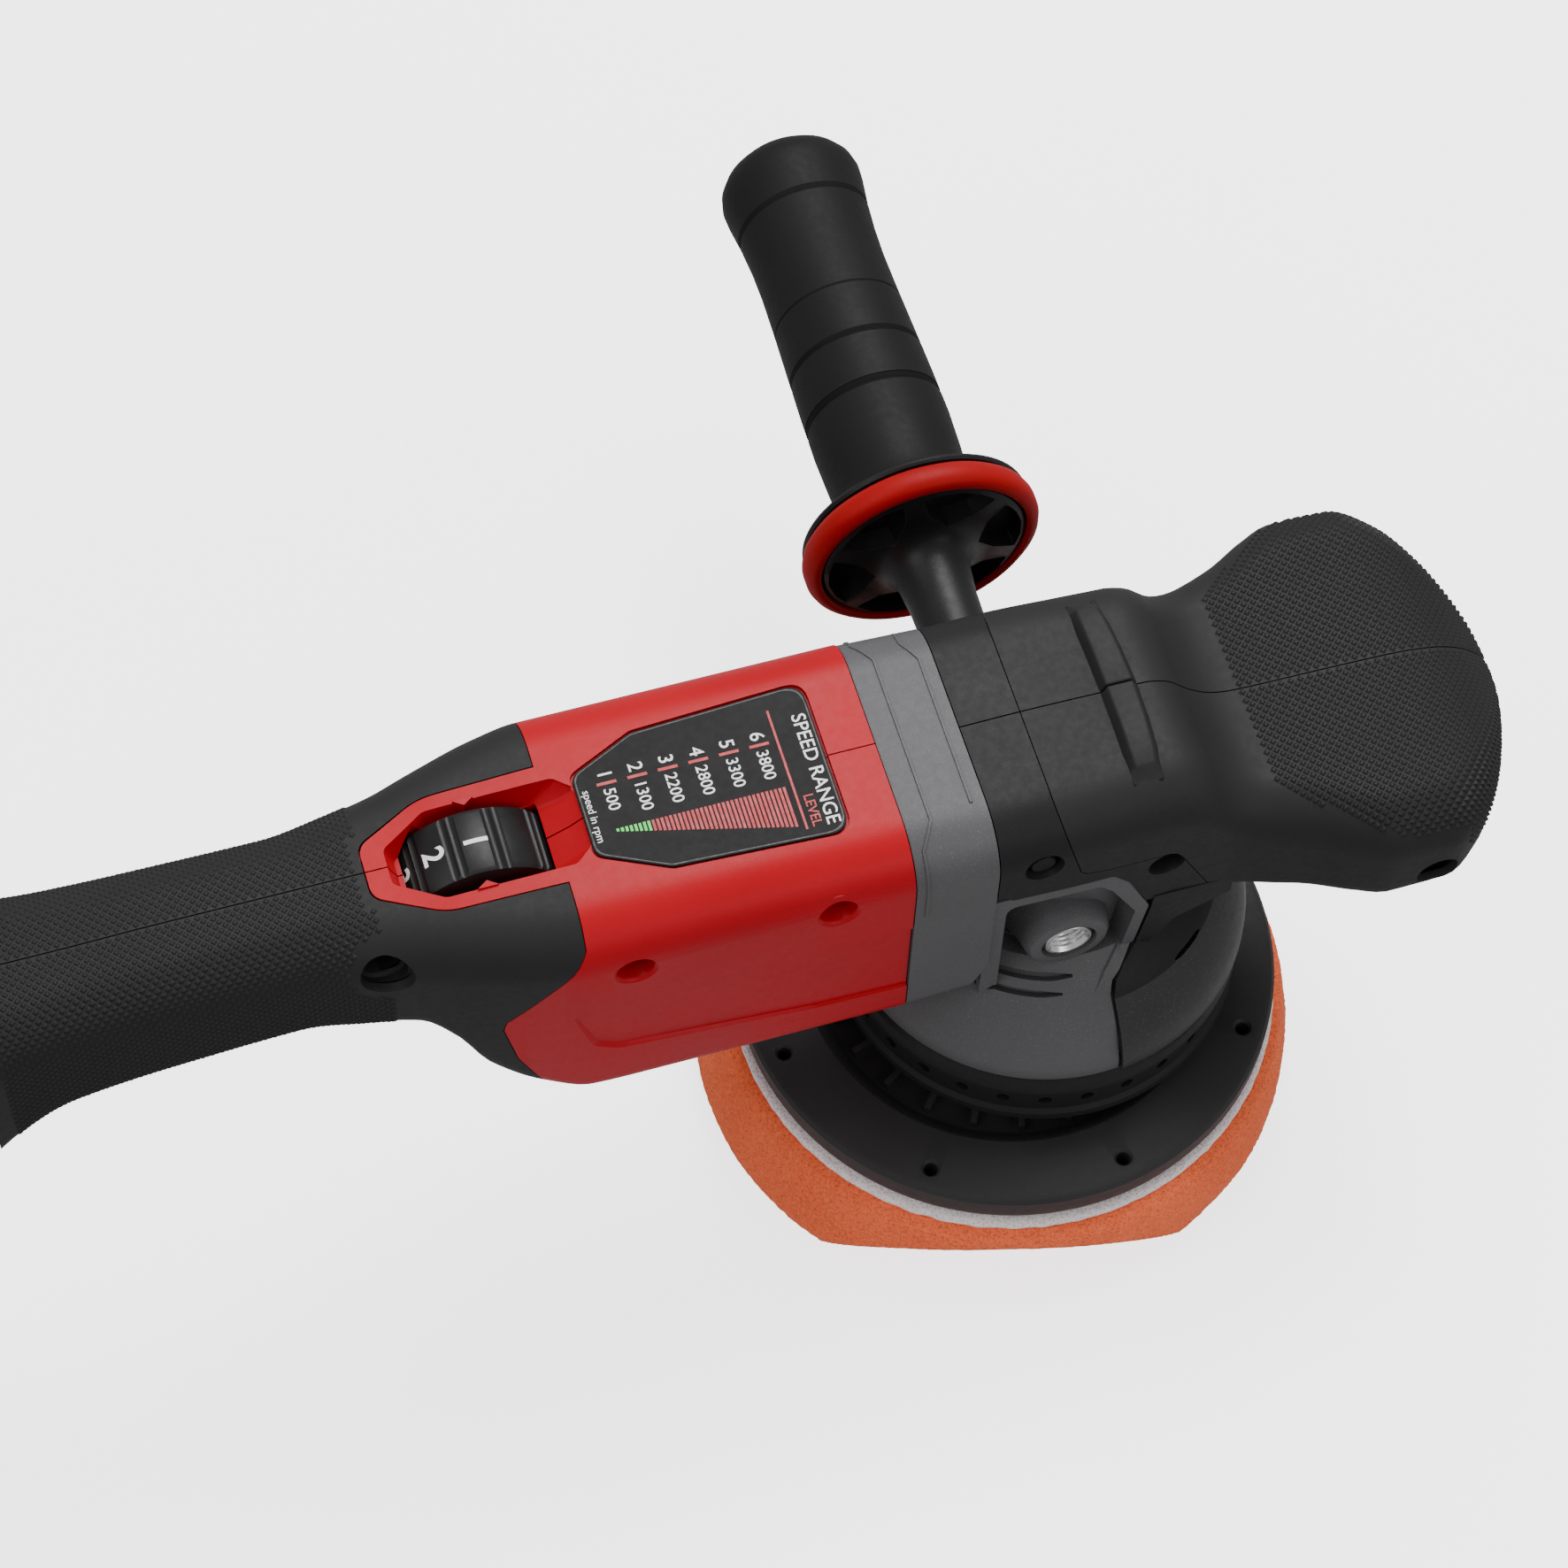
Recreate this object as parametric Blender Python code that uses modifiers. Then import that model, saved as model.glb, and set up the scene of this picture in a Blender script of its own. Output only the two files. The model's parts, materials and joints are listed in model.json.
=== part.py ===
"""Cordless dual action polisher, built as an assembly of separate pieces.

Metres, +Z up. The origin is the drive spindle's axis at the foam pad's working face. +X points to the
nose, +Y to the side handle. The right side is -Y. Lengths are written in millimetres times MM.
"""
import math

import bmesh
import bpy
from mathutils import Matrix, Vector

MM = 0.001
GAP = 0.3            # clearance between pieces that touch
SEAM = 0.15          # half of the gap between the left and the right shell
LEFT, RIGHT = 1, -1

# Drive train
MOTOR_Z = 111.0      # height of the motor's axis
MODULE = 1.6875      # bevel gear module at the large end
PINION_TEETH = 8
CROWN_TEETH = 24
ECCENTRICITY = 6.0   # orbit radius: a 12 mm throw
PAD_X = -ECCENTRICITY
PAD_RADIUS = 70.0
PLATE_RADIUS = 62.5
PLATE_TOP = 37.0

# Casings
SKIN = 1.9           # thickness of a rubber overmould
UNDER_SKIN = SKIN + GAP
SHELL = 2.8          # wall of a bare shell
DEEP_WALL = 4.6      # depth of the inner face under an overmould
BODY_FRONT = -42.3
COLLAR_REAR, COLLAR_FRONT = -42.0, -24.0
FOOT_REAR = -258.0

# Side handle and its bosses
BOSS_X, BOSS_Z, BOSS_FACE = -5.4, 98.6, 30.0

# Speed wheel
WHEEL_X, WHEEL_Z, WHEEL_RADIUS, WHEEL_HALF = -128.0, 135.0, 18.0, 7.7

# Trigger pivot
TRIGGER_X, TRIGGER_Z = -160.0, 124.4

# Long screws that close the shells: x, z, half width of the shell there
BODY_SCREWS = {"housing_screw_front": (-58.8, 140.2), "housing_screw_rear": (-102.2, 137.8)}
GRIP_SCREW = (-152.0, 142.2)
NOSE_SCREW = (72.5, 114.0)
# Short screws that hold the head cover to the gear case
BAND_SCREW = (-14.0, 137.3)
STRIP_SCREW = (14.5, 123.6)

# Main body from the collar to the foot: x, half width, bottom, top, lower radius, upper radius
BODY = [
    (BODY_FRONT, 30.5, 85.0, 152.0, 6.6, 12.5),
    (-104.0, 30.5, 85.0, 152.0, 6.6, 12.5),
    (-112.0, 30.5, 85.5, 152.0, 6.6, 12.5),
    (-122.0, 29.0, 89.0, 151.8, 8.0, 12.5),
    (-133.0, 26.0, 97.5, 151.5, 9.0, 12.5),
    (-139.0, 24.0, 109.0, 151.2, 9.0, 12.0),
    (-146.0, 21.8, 116.0, 151.0, 9.0, 12.0),
    (-157.0, 19.6, 117.0, 151.0, 9.0, 12.0),
    (-170.0, 17.4, 117.0, 151.0, 9.0, 11.0),
    (-192.0, 17.6, 116.0, 151.0, 9.0, 11.0),
    (-218.0, 18.6, 114.0, 150.5, 9.0, 11.0),
    (-236.0, 21.5, 106.0, 150.5, 8.0, 11.0),
    (-248.0, 28.0, 93.0, 155.0, 7.0, 10.0),
    (FOOT_REAR, 32.0, 86.0, 163.0, 6.0, 8.0),
]

# Head from the collar to the nose, with the same columns
HEAD = [
    (-23.7, 30.5, 108.0, 150.0, 3.0, 12.5),
    (-10.0, 30.5, 108.0, 150.2, 3.0, 12.5),
    (8.0, 30.0, 107.0, 149.8, 3.0, 12.5),
    (21.0, 29.8, 105.0, 148.6, 4.0, 12.5),
    (28.0, 30.0, 104.0, 142.0, 5.0, 12.5),
    (36.0, 31.8, 104.0, 137.2, 6.0, 12.0),
    (46.0, 35.6, 104.0, 136.2, 7.0, 12.0),
    (62.0, 43.0, 104.8, 135.8, 8.0, 12.0),
    (75.0, 42.8, 104.8, 135.2, 8.0, 12.0),
    (84.0, 37.4, 106.5, 133.6, 8.0, 12.0),
    (90.0, 29.4, 108.5, 130.8, 8.0, 11.0),
    (95.0, 19.0, 110.0, 126.4, 7.0, 8.0),
    (98.5, 8.0, 112.5, 121.5, 4.0, 4.0),
]

# Side outlines, x and z, of the places that an overmould covers
GRIP_SKIN_OUTLINE = [(-111, 165), (-112, 147), (-129.5, 121), (-127.4, 106), (-120, 89), (-120, 70), (-236, 70),
                     (-236, 165)]
BOOT_OUTLINE = [(-10, 160), (-11, 150), (-5, 129.8), (1.2, 128.6), (15.6, 127.5), (18, 125), (28, 103.7),
                (34, 90), (110, 90), (110, 160)]
# What is left open under the head cover, around the gear housing's side
COVER_OPENING = [(-30, 80), (-30, 131), (-21, 125.6), (3, 124.8), (7, 119.6), (13, 106), (9.3, 84), (9.3, 50),
                 (-30, 50)]
# The gear housing's side frame and the pocket inside it
SIDE_FRAME = [(-25, 84), (-25, 125.2), (2.7, 124.4), (6.6, 119.4), (12.6, 106), (8.8, 84)]
SIDE_POCKET = [(-20.5, 90), (-20.5, 121.6), (0.8, 120.8), (3.4, 117.4), (8.6, 105.6), (6, 90), (2, 80), (-17, 80)]

# Turned skirt of the head cover over the dome: radius and height
SKIRT = [(46.4, 62.6), (46.4, 70), (44.4, 80), (39.5, 92), (34.0, 103.0), (33.0, 110.0)]
DOME = [(45.2, 60.8), (45.8, 64), (44.6, 70), (41, 79), (34.5, 87.3), (26.7, 91.3)]


# ---------------------------------------------------------------- scene and helpers

def clear_scene():
    for obj in list(bpy.data.objects):
        bpy.data.objects.remove(obj, do_unlink=True)
    for collection in list(bpy.data.collections):
        bpy.data.collections.remove(collection)


def new_collection(name):
    collection = bpy.data.collections.new(name)
    bpy.context.scene.collection.children.link(collection)
    return collection


clear_scene()
PARTS = new_collection("dual_action_polisher")
CUTTERS = new_collection("cutters")


def material(name, colour, roughness, metallic=0.0):
    """A Principled material; the colour is linear RGB."""
    made = bpy.data.materials.get(name)
    if made is None:
        made = bpy.data.materials.new(name)
        made.use_nodes = True
        shader = made.node_tree.nodes["Principled BSDF"]
        shader.inputs["Base Color"].default_value = (*colour, 1.0)
        shader.inputs["Roughness"].default_value = roughness
        shader.inputs["Metallic"].default_value = metallic
    return made


RED_PLASTIC = material("red_plastic", (0.52, 0.010, 0.012), 0.42)
GREY_PLASTIC = material("grey_plastic", (0.11, 0.11, 0.115), 0.50)
BLACK_PLASTIC = material("black_plastic", (0.018, 0.018, 0.019), 0.45)
BLACK_RUBBER = material("black_rubber", (0.028, 0.028, 0.030), 0.75)
RED_RUBBER = material("red_rubber", (0.50, 0.014, 0.014), 0.60)
ORANGE_FOAM = material("orange_foam", (0.80, 0.10, 0.015), 0.95)
LOOP_CLOTH = material("loop_cloth", (0.75, 0.66, 0.66), 0.95)
LABEL_FILM = material("label_film", (0.015, 0.015, 0.016), 0.55)
STEEL = material("steel", (0.56, 0.56, 0.57), 0.30, 1.0)
DARK_STEEL = material("dark_steel", (0.14, 0.14, 0.15), 0.42, 1.0)
ZINC = material("zinc_casting", (0.40, 0.40, 0.42), 0.45, 1.0)
COPPER = material("copper_winding", (0.72, 0.28, 0.12), 0.38, 1.0)
CIRCUIT_GREEN = material("circuit_green", (0.02, 0.16, 0.06), 0.50)
CELL_WRAP = material("cell_wrap", (0.05, 0.16, 0.45), 0.45)


def place(obj, paint=None):
    """Put a piece in the parts collection, with its material; without one it is a cutter."""
    for collection in list(obj.users_collection):
        collection.objects.unlink(obj)
    if paint is None:
        CUTTERS.objects.link(obj)
        obj.hide_render = True
        obj.display_type = "WIRE"
    else:
        PARTS.objects.link(obj)
        obj.data.materials.clear()
        obj.data.materials.append(paint)
    return obj


def mesh_object(name, bm, paint):
    bmesh.ops.recalc_face_normals(bm, faces=bm.faces)
    mesh = bpy.data.meshes.new(name)
    bm.to_mesh(mesh)
    bm.free()
    obj = bpy.data.objects.new(name, mesh)
    bpy.context.scene.collection.objects.link(obj)
    return place(obj, paint)


def box(name, x, y, z, paint=None):
    """A box between the pairs x, y and z."""
    bpy.ops.mesh.primitive_cube_add(size=1.0)
    obj = bpy.context.object
    obj.name = name
    lows, highs = zip(x, y, z)
    middle = [(low + high) / 2 * MM for low, high in zip(lows, highs)]
    size = [(high - low) * MM for low, high in zip(lows, highs)]
    obj.data.transform(Matrix.Translation(middle) @ Matrix.Diagonal((*size, 1.0)))
    return place(obj, paint)


TURN = {"X": (0, math.pi / 2, 0), "Y": (-math.pi / 2, 0, 0), "Z": (0, 0, 0)}


def cylinder(name, axis, centre, span, radius, paint=None, sides=24):
    """A cylinder along an axis; centre is its place across the axis and span its two ends."""
    bpy.ops.mesh.primitive_cylinder_add(vertices=sides, radius=radius * MM, depth=(span[1] - span[0]) * MM)
    obj = bpy.context.object
    obj.name = name
    middle = (span[0] + span[1]) / 2
    where = {"X": (middle, *centre), "Y": (centre[0], middle, centre[1]), "Z": (*centre, middle)}[axis]
    obj.location = Vector(where) * MM
    obj.rotation_euler = TURN[axis]
    return place(obj, paint)


def turned(name, axis, centre, profile, paint=None, steps=32, ring=False):
    """Turn a profile of (radius, distance along the axis) that runs down its outer side."""
    bm = bmesh.new()
    points = [bm.verts.new((radius * MM, 0, along * MM)) for radius, along in profile]
    for first, second in zip(points, points[1:]):
        bm.edges.new((first, second))
    if ring:
        bm.edges.new((points[-1], points[0]))
    mesh = bpy.data.meshes.new(name)
    bm.to_mesh(mesh)
    bm.free()
    obj = bpy.data.objects.new(name, mesh)
    bpy.context.scene.collection.objects.link(obj)
    screw = obj.modifiers.new("turn", "SCREW")
    screw.steps = steps
    screw.render_steps = steps
    screw.use_merge_vertices = True
    screw.merge_threshold = 0.00002
    where = {"X": (0, *centre), "Y": (centre[0], 0, centre[1]), "Z": (*centre, 0)}[axis]
    obj.location = Vector(where) * MM
    obj.rotation_euler = TURN[axis]
    return place(obj, paint)


def outline_solid(name, outline, across, span, paint=None):
    """Extrude a flat outline. across "Y" takes (x, z) points, "Z" takes (x, y) points."""
    bm = bmesh.new()
    ends = []
    for level in span:
        at = (lambda u, v: (u, level, v)) if across == "Y" else (lambda u, v: (u, v, level))
        ends.append([bm.verts.new(Vector(at(u, v)) * MM) for u, v in outline])
    bridge(bm, ends)
    return mesh_object(name, bm, paint)


def bridge(bm, rings, capped=True):
    """Join rings of equal count with faces and close both ends."""
    count = len(rings[0])
    for low, high in zip(rings, rings[1:]):
        for i in range(count):
            j = (i + 1) % count
            bm.faces.new((low[i], low[j], high[j], high[i]))
    if capped:
        bm.faces.new(list(reversed(rings[0])))
        bm.faces.new(rings[-1])


def boolean(target, other, operation):
    modifier = target.modifiers.new(operation.lower(), "BOOLEAN")
    modifier.operation = operation
    modifier.object = other
    modifier.solver = "EXACT"
    return target


def cut(target, *others):
    for other in others:
        boolean(target, other, "DIFFERENCE")
    return target


def join(target, *others):
    for other in others:
        boolean(target, other, "UNION")
    return target


def keep(target, *others):
    for other in others:
        boolean(target, other, "INTERSECT")
    return target


def bevel(obj, width, segments=1, angle=40):
    modifier = obj.modifiers.new("bevel", "BEVEL")
    modifier.width = width * MM
    modifier.segments = segments
    modifier.limit_method = "ANGLE"
    modifier.angle_limit = math.radians(angle)
    return obj


def wire(name, points, radius, paint, sides=2):
    """A round wire along a list of points, as a closed mesh with welded caps."""
    curve = bpy.data.curves.new(name, "CURVE")
    curve.dimensions = "3D"
    curve.bevel_depth = radius * MM
    curve.bevel_resolution = sides
    curve.use_fill_caps = True
    spline = curve.splines.new("POLY")
    spline.points.add(len(points) - 1)
    for spot, point in zip(spline.points, points):
        spot.co = (*(Vector(point) * MM), 1.0)
    guide = bpy.data.objects.new(name + "_guide", curve)
    bpy.context.scene.collection.objects.link(guide)
    bpy.context.view_layer.update()
    evaluated = guide.evaluated_get(bpy.context.evaluated_depsgraph_get())
    mesh = bpy.data.meshes.new_from_object(evaluated)
    bpy.data.objects.remove(guide, do_unlink=True)
    bm = bmesh.new()
    bm.from_mesh(mesh)
    bmesh.ops.remove_doubles(bm, verts=bm.verts, dist=0.00001)
    return mesh_object(name, bm, paint)


# ---------------------------------------------------------------- lofted casings

def corner(centre_y, centre_z, radius, start, count):
    """Points of a quarter circle that begins at an angle in degrees."""
    angles = [math.radians(start + 90.0 * i / (count - 1)) for i in range(count)]
    return [(centre_y + radius * math.cos(a), centre_z + radius * math.sin(a)) for a in angles]


def half_section(station, inset):
    """Points (y, z) of a rounded section's +Y side, from the bottom up, moved in by the inset."""
    _, half, bottom, top, low_radius, top_radius = station
    half, bottom, top = half - inset, bottom + inset, top - inset
    low = max(low_radius - inset, 0.6)
    high = max(top_radius - inset, 0.6)
    return corner(half - low, bottom + low, low, -90, 3) + corner(half - high, top - high, high, 0, 4)


def casing(name, stations, inset=0.0, side=0, paint=None):
    """A loft along X through rounded sections: the whole solid, or one side of the seam."""
    bm = bmesh.new()
    rings = []
    for station in stations:
        half = half_section(station, inset)
        if side:
            points = [(SEAM, half[0][1])] + half + [(SEAM, half[-1][1])]
            points = [(side * y, z) for y, z in points]
        else:
            points = half + [(-y, z) for y, z in reversed(half)]
        rings.append([bm.verts.new(Vector((station[0], y, z)) * MM) for y, z in points])
    bridge(bm, rings)
    return mesh_object(name, bm, paint)


def between(stations, start, end):
    """The stations of a casing clipped to a stretch of X, with its ends worked out in between."""
    def at(x):
        for first, second in zip(stations, stations[1:]):
            low, high = sorted((first[0], second[0]))
            if low <= x <= high:
                share = (x - first[0]) / (second[0] - first[0])
                return tuple(a + (b - a) * share for a, b in zip(first, second))
        raise ValueError("outside the casing")
    inner = [s for s in stations if min(start, end) + 0.5 < s[0] < max(start, end) - 0.5]
    return [at(start)] + inner + [at(end)]


def side_name(side):
    return "left" if side == LEFT else "right"


def side_span(side, near, far):
    """The two Y values of a stretch on one side, in rising order."""
    return tuple(sorted((side * near, side * far)))


def long_screw_seat(shell, side, name, x, z, wall):
    """The boss in one shell for a long screw: a deep counterbore on the right, a blind hole on the left."""
    radius = 5.3 if side == RIGHT else 4.2
    boss = cylinder(f"{name}_boss_{side_name(side)}", "Y", (x, z), side_span(side, SEAM, wall - 1.2), radius,
                    sides=12)
    join(shell, boss)
    if side == RIGHT:
        cut(shell, cylinder(f"{name}_sink", "Y", (x, z), (-wall - 14, -10), 3.8, sides=12))
        cut(shell, cylinder(f"{name}_bore", "Y", (x, z), (-11, 1), 1.95, sides=10))
    else:
        cut(shell, cylinder(f"{name}_hole", "Y", (x, z), (-1, 14), 1.95, sides=10))


def long_screw(name, x, z):
    """A pan head screw that draws the left shell to the right one."""
    profile = [(0, 12.5), (1.0, 12.5), (1.6, 11.5), (1.6, -10.3), (3.3, -10.3), (3.3, -12.0), (2.6, -13.0),
               (0, -13.0)]
    screw = turned(name, "Y", (x, z), profile, STEEL, steps=10)
    return cut(screw, cylinder(name + "_drive", "Y", (x, z), (-14, -11.6), 1.4, sides=6))


# ---------------------------------------------------------------- body shells and grip

def body_voids():
    """The hollow of the body: three chambers that leave two saddle ribs, and the motor's bore."""
    chambers = []
    for index, (start, end, inset) in enumerate([(-41, -72, SHELL), (-75, -93, SHELL), (-96, -104, SHELL),
                                                 (-103.9, -255, DEEP_WALL)]):
        stations = BODY
        if start > BODY_FRONT:
            stations = [(start, *BODY[0][1:])] + BODY
        chambers.append(casing(f"chamber_{index}", between(stations, start, end), inset))
    chambers.append(cylinder("motor_bore", "X", (0, MOTOR_Z), (-106, -41), 22.5, sides=28))
    return chambers


def wheel_pocket():
    """The sloping pocket in the top that frees the speed wheel's rim."""
    bm = bmesh.new()
    rings = []
    for height, grow in ((146.6, 0.0), (153.0, 1.4)):
        half = [(-111.6 + 2 * grow, 8.0 + grow), (-114.0 + grow, 9.4 + grow), (-136.0, 9.4 + grow),
                (-146.5 - grow, 4.0 + grow / 2)]
        outline = half + [(x, -y) for x, y in reversed(half)]
        rings.append([bm.verts.new(Vector((x, y, height)) * MM) for x, y in outline])
    bridge(bm, rings)
    return mesh_object("wheel_pocket", bm, None)


def label_outline(grow=0.0):
    """The speed label's eight corners, x and y."""
    front, rear, knee = -53.0 + grow, -105.0 - grow, -90.5
    return [(front, 16.0 + grow), (front - 2.5, 18.0 + grow), (knee, 16.6 + grow), (rear, 9.5 + grow / 2),
            (rear, -9.5 - grow / 2), (knee, -16.6 - grow), (front - 2.5, -18.0 - grow), (front, -16.0 - grow)]


def spine_outline(grow=0.0):
    """The bare ridge between the two grip skins around the wheel, x and y."""
    half = [(-100, 14.6 + grow), (-112, 13.9 + grow), (-137, 13.4 + grow), (-151 - grow, 6 + grow)]
    return half + [(x, -y) for x, y in reversed(half)]


def tongue_outline(side, grow=0.0):
    """Half of the T-shaped battery rail, x and y."""
    points = [(-256, 20 + grow), (-262 + grow, 20 + grow), (-262 + grow, 24 + grow), (-266 - grow, 24 + grow)]
    inner = SEAM if side else 0.0
    if side:
        return [(-256, side * inner)] + [(x, side * y) for x, y in points] + [(-266, side * inner)]
    return points + [(x, -y) for x, y in reversed(points)]


def shared_body_cutters():
    under = casing("under_skin", [(20, *BODY[0][1:])] + BODY + [(-290, *BODY[-1][1:])], UNDER_SKIN)
    layer = outline_solid("skin_layer", GRIP_SKIN_OUTLINE, "Y", (-60, 60))
    cut(layer, under, outline_solid("spine", spine_outline(), "Z", (138, 170)))
    return {
        "voids": body_voids(),
        "layer": layer,
        "pocket": wheel_pocket(),
        "rim_slot": cylinder("rim_slot", "Y", (WHEEL_X, WHEEL_Z), (-8.5, 8.5), WHEEL_RADIUS + 1, sides=28),
        "label_bed": outline_solid("label_bed", label_outline(0.4), "Z", (151.0, 156)),
        "trigger_slot": box("trigger_slot", (-231, -153), (-7.6, 7.6), (98, 129)),
        "terminal_window": box("terminal_window", (-268, -250), (-12, 12), (110, 130)),
    }


def housing(side, cutters):
    """One half of the red clamshell: motor body, grip core and battery foot."""
    name = "housing_" + side_name(side)
    shell = casing(name, BODY, 0.0, side, RED_PLASTIC)
    cut(shell, *cutters["voids"])
    pad = box(f"wheel_frame_{side_name(side)}", (-151, -106), side_span(side, SEAM, 14.5), (143.4, 150.2))
    join(shell, pad)
    cut(shell, cutters["layer"], cutters["pocket"], cutters["rim_slot"], cutters["label_bed"],
        cutters["trigger_slot"])
    join(shell, outline_solid(f"rail_{side_name(side)}", tongue_outline(side), "Z", (90, 160)))
    cut(shell, cutters["terminal_window"])
    for screw, (x, z) in BODY_SCREWS.items():
        long_screw_seat(shell, side, screw, x, z, 30.5)
    long_screw_seat(shell, side, "grip_screw", *GRIP_SCREW, 13.4)
    pivot = cylinder(f"pivot_boss_{side_name(side)}", "Y", (TRIGGER_X, TRIGGER_Z), side_span(side, 8.0, 12.6), 4,
                     sides=12)
    join(shell, pivot)
    cut(shell, cylinder(f"pivot_hole_{side_name(side)}", "Y", (TRIGGER_X, TRIGGER_Z), side_span(side, 6, 14),
                        1.9, sides=12))
    if side == LEFT:
        cut(shell, cylinder("lock_hole", "Y", (-178, 131), (9, 30), 5.9, sides=20))
    return shell


def grip_skin(side, cutters):
    """The rubber skin over one half of the grip."""
    name = "grip_skin_" + side_name(side)
    skin = casing(name, BODY, 0.0, side, BLACK_RUBBER)
    region = [(-111.3, 165), (-112.3, 146.9), (-129.8, 120.9), (-127.7, 105.9), (-120.3, 88.8), (-120.3, 70),
              (-235.7, 70), (-235.7, 165)]
    keep(skin, outline_solid(f"skin_region_{side_name(side)}", region, "Y", (-60, 60)))
    inner = casing(f"skin_inner_{side_name(side)}", [(20, *BODY[0][1:])] + BODY + [(-290, *BODY[-1][1:])], SKIN)
    cut(skin, inner, outline_solid(f"skin_spine_{side_name(side)}", spine_outline(GAP), "Z", (138, 170)),
        cutters["trigger_slot"])
    if side == RIGHT:
        cut(skin, cylinder("skin_screw_hole", "Y", GRIP_SCREW, (-40, -5), 4.2, sides=16))
    else:
        cut(skin, cylinder("skin_lock_hole", "Y", (-178, 131), (9, 30), 6.4, sides=20))
    return skin


def speed_label():
    label = outline_solid("speed_label", label_outline(), "Z", (151.3, 152.1), LABEL_FILM)
    return bevel(label, 0.25)


def speed_wheel():
    """The thumb wheel with its stub axles; the rim has shallow thumb notches."""
    profile = [(0, 12.4), (2.5, 12.4), (2.5, WHEEL_HALF), (WHEEL_RADIUS - 1.2, WHEEL_HALF),
               (WHEEL_RADIUS, WHEEL_HALF - 1.2), (WHEEL_RADIUS, 1.2 - WHEEL_HALF),
               (WHEEL_RADIUS - 1.2, -WHEEL_HALF), (2.5, -WHEEL_HALF), (2.5, -12.4), (0, -12.4)]
    wheel = turned("speed_wheel", "Y", (WHEEL_X, WHEEL_Z), profile, BLACK_RUBBER, steps=24)
    for index in range(12):
        angle = math.radians(30 * index + 15)
        centre = (WHEEL_X + (WHEEL_RADIUS + 0.8) * math.cos(angle), WHEEL_Z + (WHEEL_RADIUS + 0.8) * math.sin(angle))
        cut(wheel, cylinder(f"thumb_notch_{index}", "Y", centre, (-9, 9), 1.8, sides=6))
    return wheel


def speed_sensor():
    """The bracket under the wheel, with the potentiometer on its left cheek."""
    bracket = box("speed_sensor", (-137, -119), (-11.2, 11.2), (110.5, 139.5), BLACK_PLASTIC)
    cut(bracket, box("sensor_gap", (-150, -110), (-8.9, 8.9), (114, 150)))
    cut(bracket, cylinder("sensor_bore", "Y", (WHEEL_X, WHEEL_Z), (-13, 13), 2.9, sides=16))
    join(bracket, cylinder("potentiometer", "Y", (WHEEL_X, WHEEL_Z), (13, 16.5), 7.5, sides=20),
         box("potentiometer_tab", (-133, -123), (10.9, 16.5), (114, 129)))
    return bracket


# ---------------------------------------------------------------- trigger and switch gear

def trigger():
    outline = [(-155.6, 127.4), (-155.6, 117), (-163, 111.6), (-198, 108.6), (-226, 106.2), (-229, 108.5),
               (-228.4, 114), (-222, 119), (-170, 121), (-164.6, 127.4)]
    lever = outline_solid("trigger", outline, "Y", (-7.1, 7.1), BLACK_PLASTIC)
    bevel(lever, 0.9)
    cut(lever, cylinder("trigger_bore", "Y", (TRIGGER_X, TRIGGER_Z), (-9, 9), 1.8, sides=16))
    cut(lever, box("spring_slot", (-169, -154), (-3.4, 3.4), (119.8, 131)))
    return lever


def trigger_pin():
    return cylinder("trigger_pin", "Y", (TRIGGER_X, TRIGGER_Z), (-12.2, 12.2), 1.5, STEEL, sides=16)


def trigger_spring():
    """A torsion spring around the trigger's pin with one short leg to the grip."""
    turns, mean, per_turn = 3, 2.5, 9
    points = []
    for i in range(turns * per_turn + 1):
        angle = math.radians(90 + 360 * i / per_turn)
        points.append((TRIGGER_X + mean * math.cos(angle), -1.95 + 1.3 * i / per_turn,
                       TRIGGER_Z + mean * math.sin(angle)))
    points.insert(0, (TRIGGER_X + 3.4, -1.95, TRIGGER_Z + mean))
    points.append((TRIGGER_X - 4.5, 1.95, TRIGGER_Z + mean + 0.4))
    return wire("trigger_spring", points, 0.45, STEEL, sides=1)


def trigger_switch():
    switch = box("trigger_switch", (-214, -190), (-6.5, 6.5), (128.6, 143), BLACK_PLASTIC)
    bevel(switch, 0.8)
    return join(switch, box("switch_tabs", (-216.5, -187.5), (-3, 3), (136, 139)))


def lock_button():
    profile = [(0, 20.4), (4.6, 20.4), (5.5, 19.6), (5.5, 11.0), (7.2, 11.0), (7.2, 9.2), (0, 9.2)]
    return turned("lock_button", "Y", (-178, 131), profile, BLACK_PLASTIC, steps=24)


def controller_board():
    board = box("controller_board", (-250.2, -248.4), (-20, 20), (99, 108.5), CIRCUIT_GREEN)
    join(board, box("board_field", (-250.2, -248.4), (-20, 20), (108, 140)))
    for index, (y, z) in enumerate([(-11, 125), (11, 125)]):
        join(board, cylinder(f"capacitor_{index}", "X", (y, z), (-248.9, -240.5), 4.0, sides=16))
    return join(board, box("driver_chip", (-249, -245.6), (-7, 7), (131, 138)))


def motor_leads():
    """The bundle of three phase wires from the board, past the wheel, to the motor."""
    knots = [(-248, -13.5, 135.5), (-236, -10.5, 134), (-222, -10.2, 134), (-196, -9.6, 134), (-170, -9.4, 132),
             (-150, -12, 128), (-138, -15, 126), (-122, -17, 125.4), (-110, -17, 125.4), (-104.5, -16.5, 125.2)]
    points = []
    for index in range(len(knots) - 1):
        before, first, second, after = (Vector(knots[min(max(index + k, 0), len(knots) - 1)])
                                        for k in (-1, 0, 1, 2))
        for step in range(2):
            t = step / 2
            points.append(0.5 * ((2 * first) + (second - before) * t
                                 + (2 * before - 5 * first + 4 * second - after) * t * t
                                 + (3 * first - before - 3 * second + after) * t ** 3))
    points.append(Vector(knots[-1]))
    return wire("motor_leads", points, 1.7, BLACK_RUBBER, sides=1)


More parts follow.
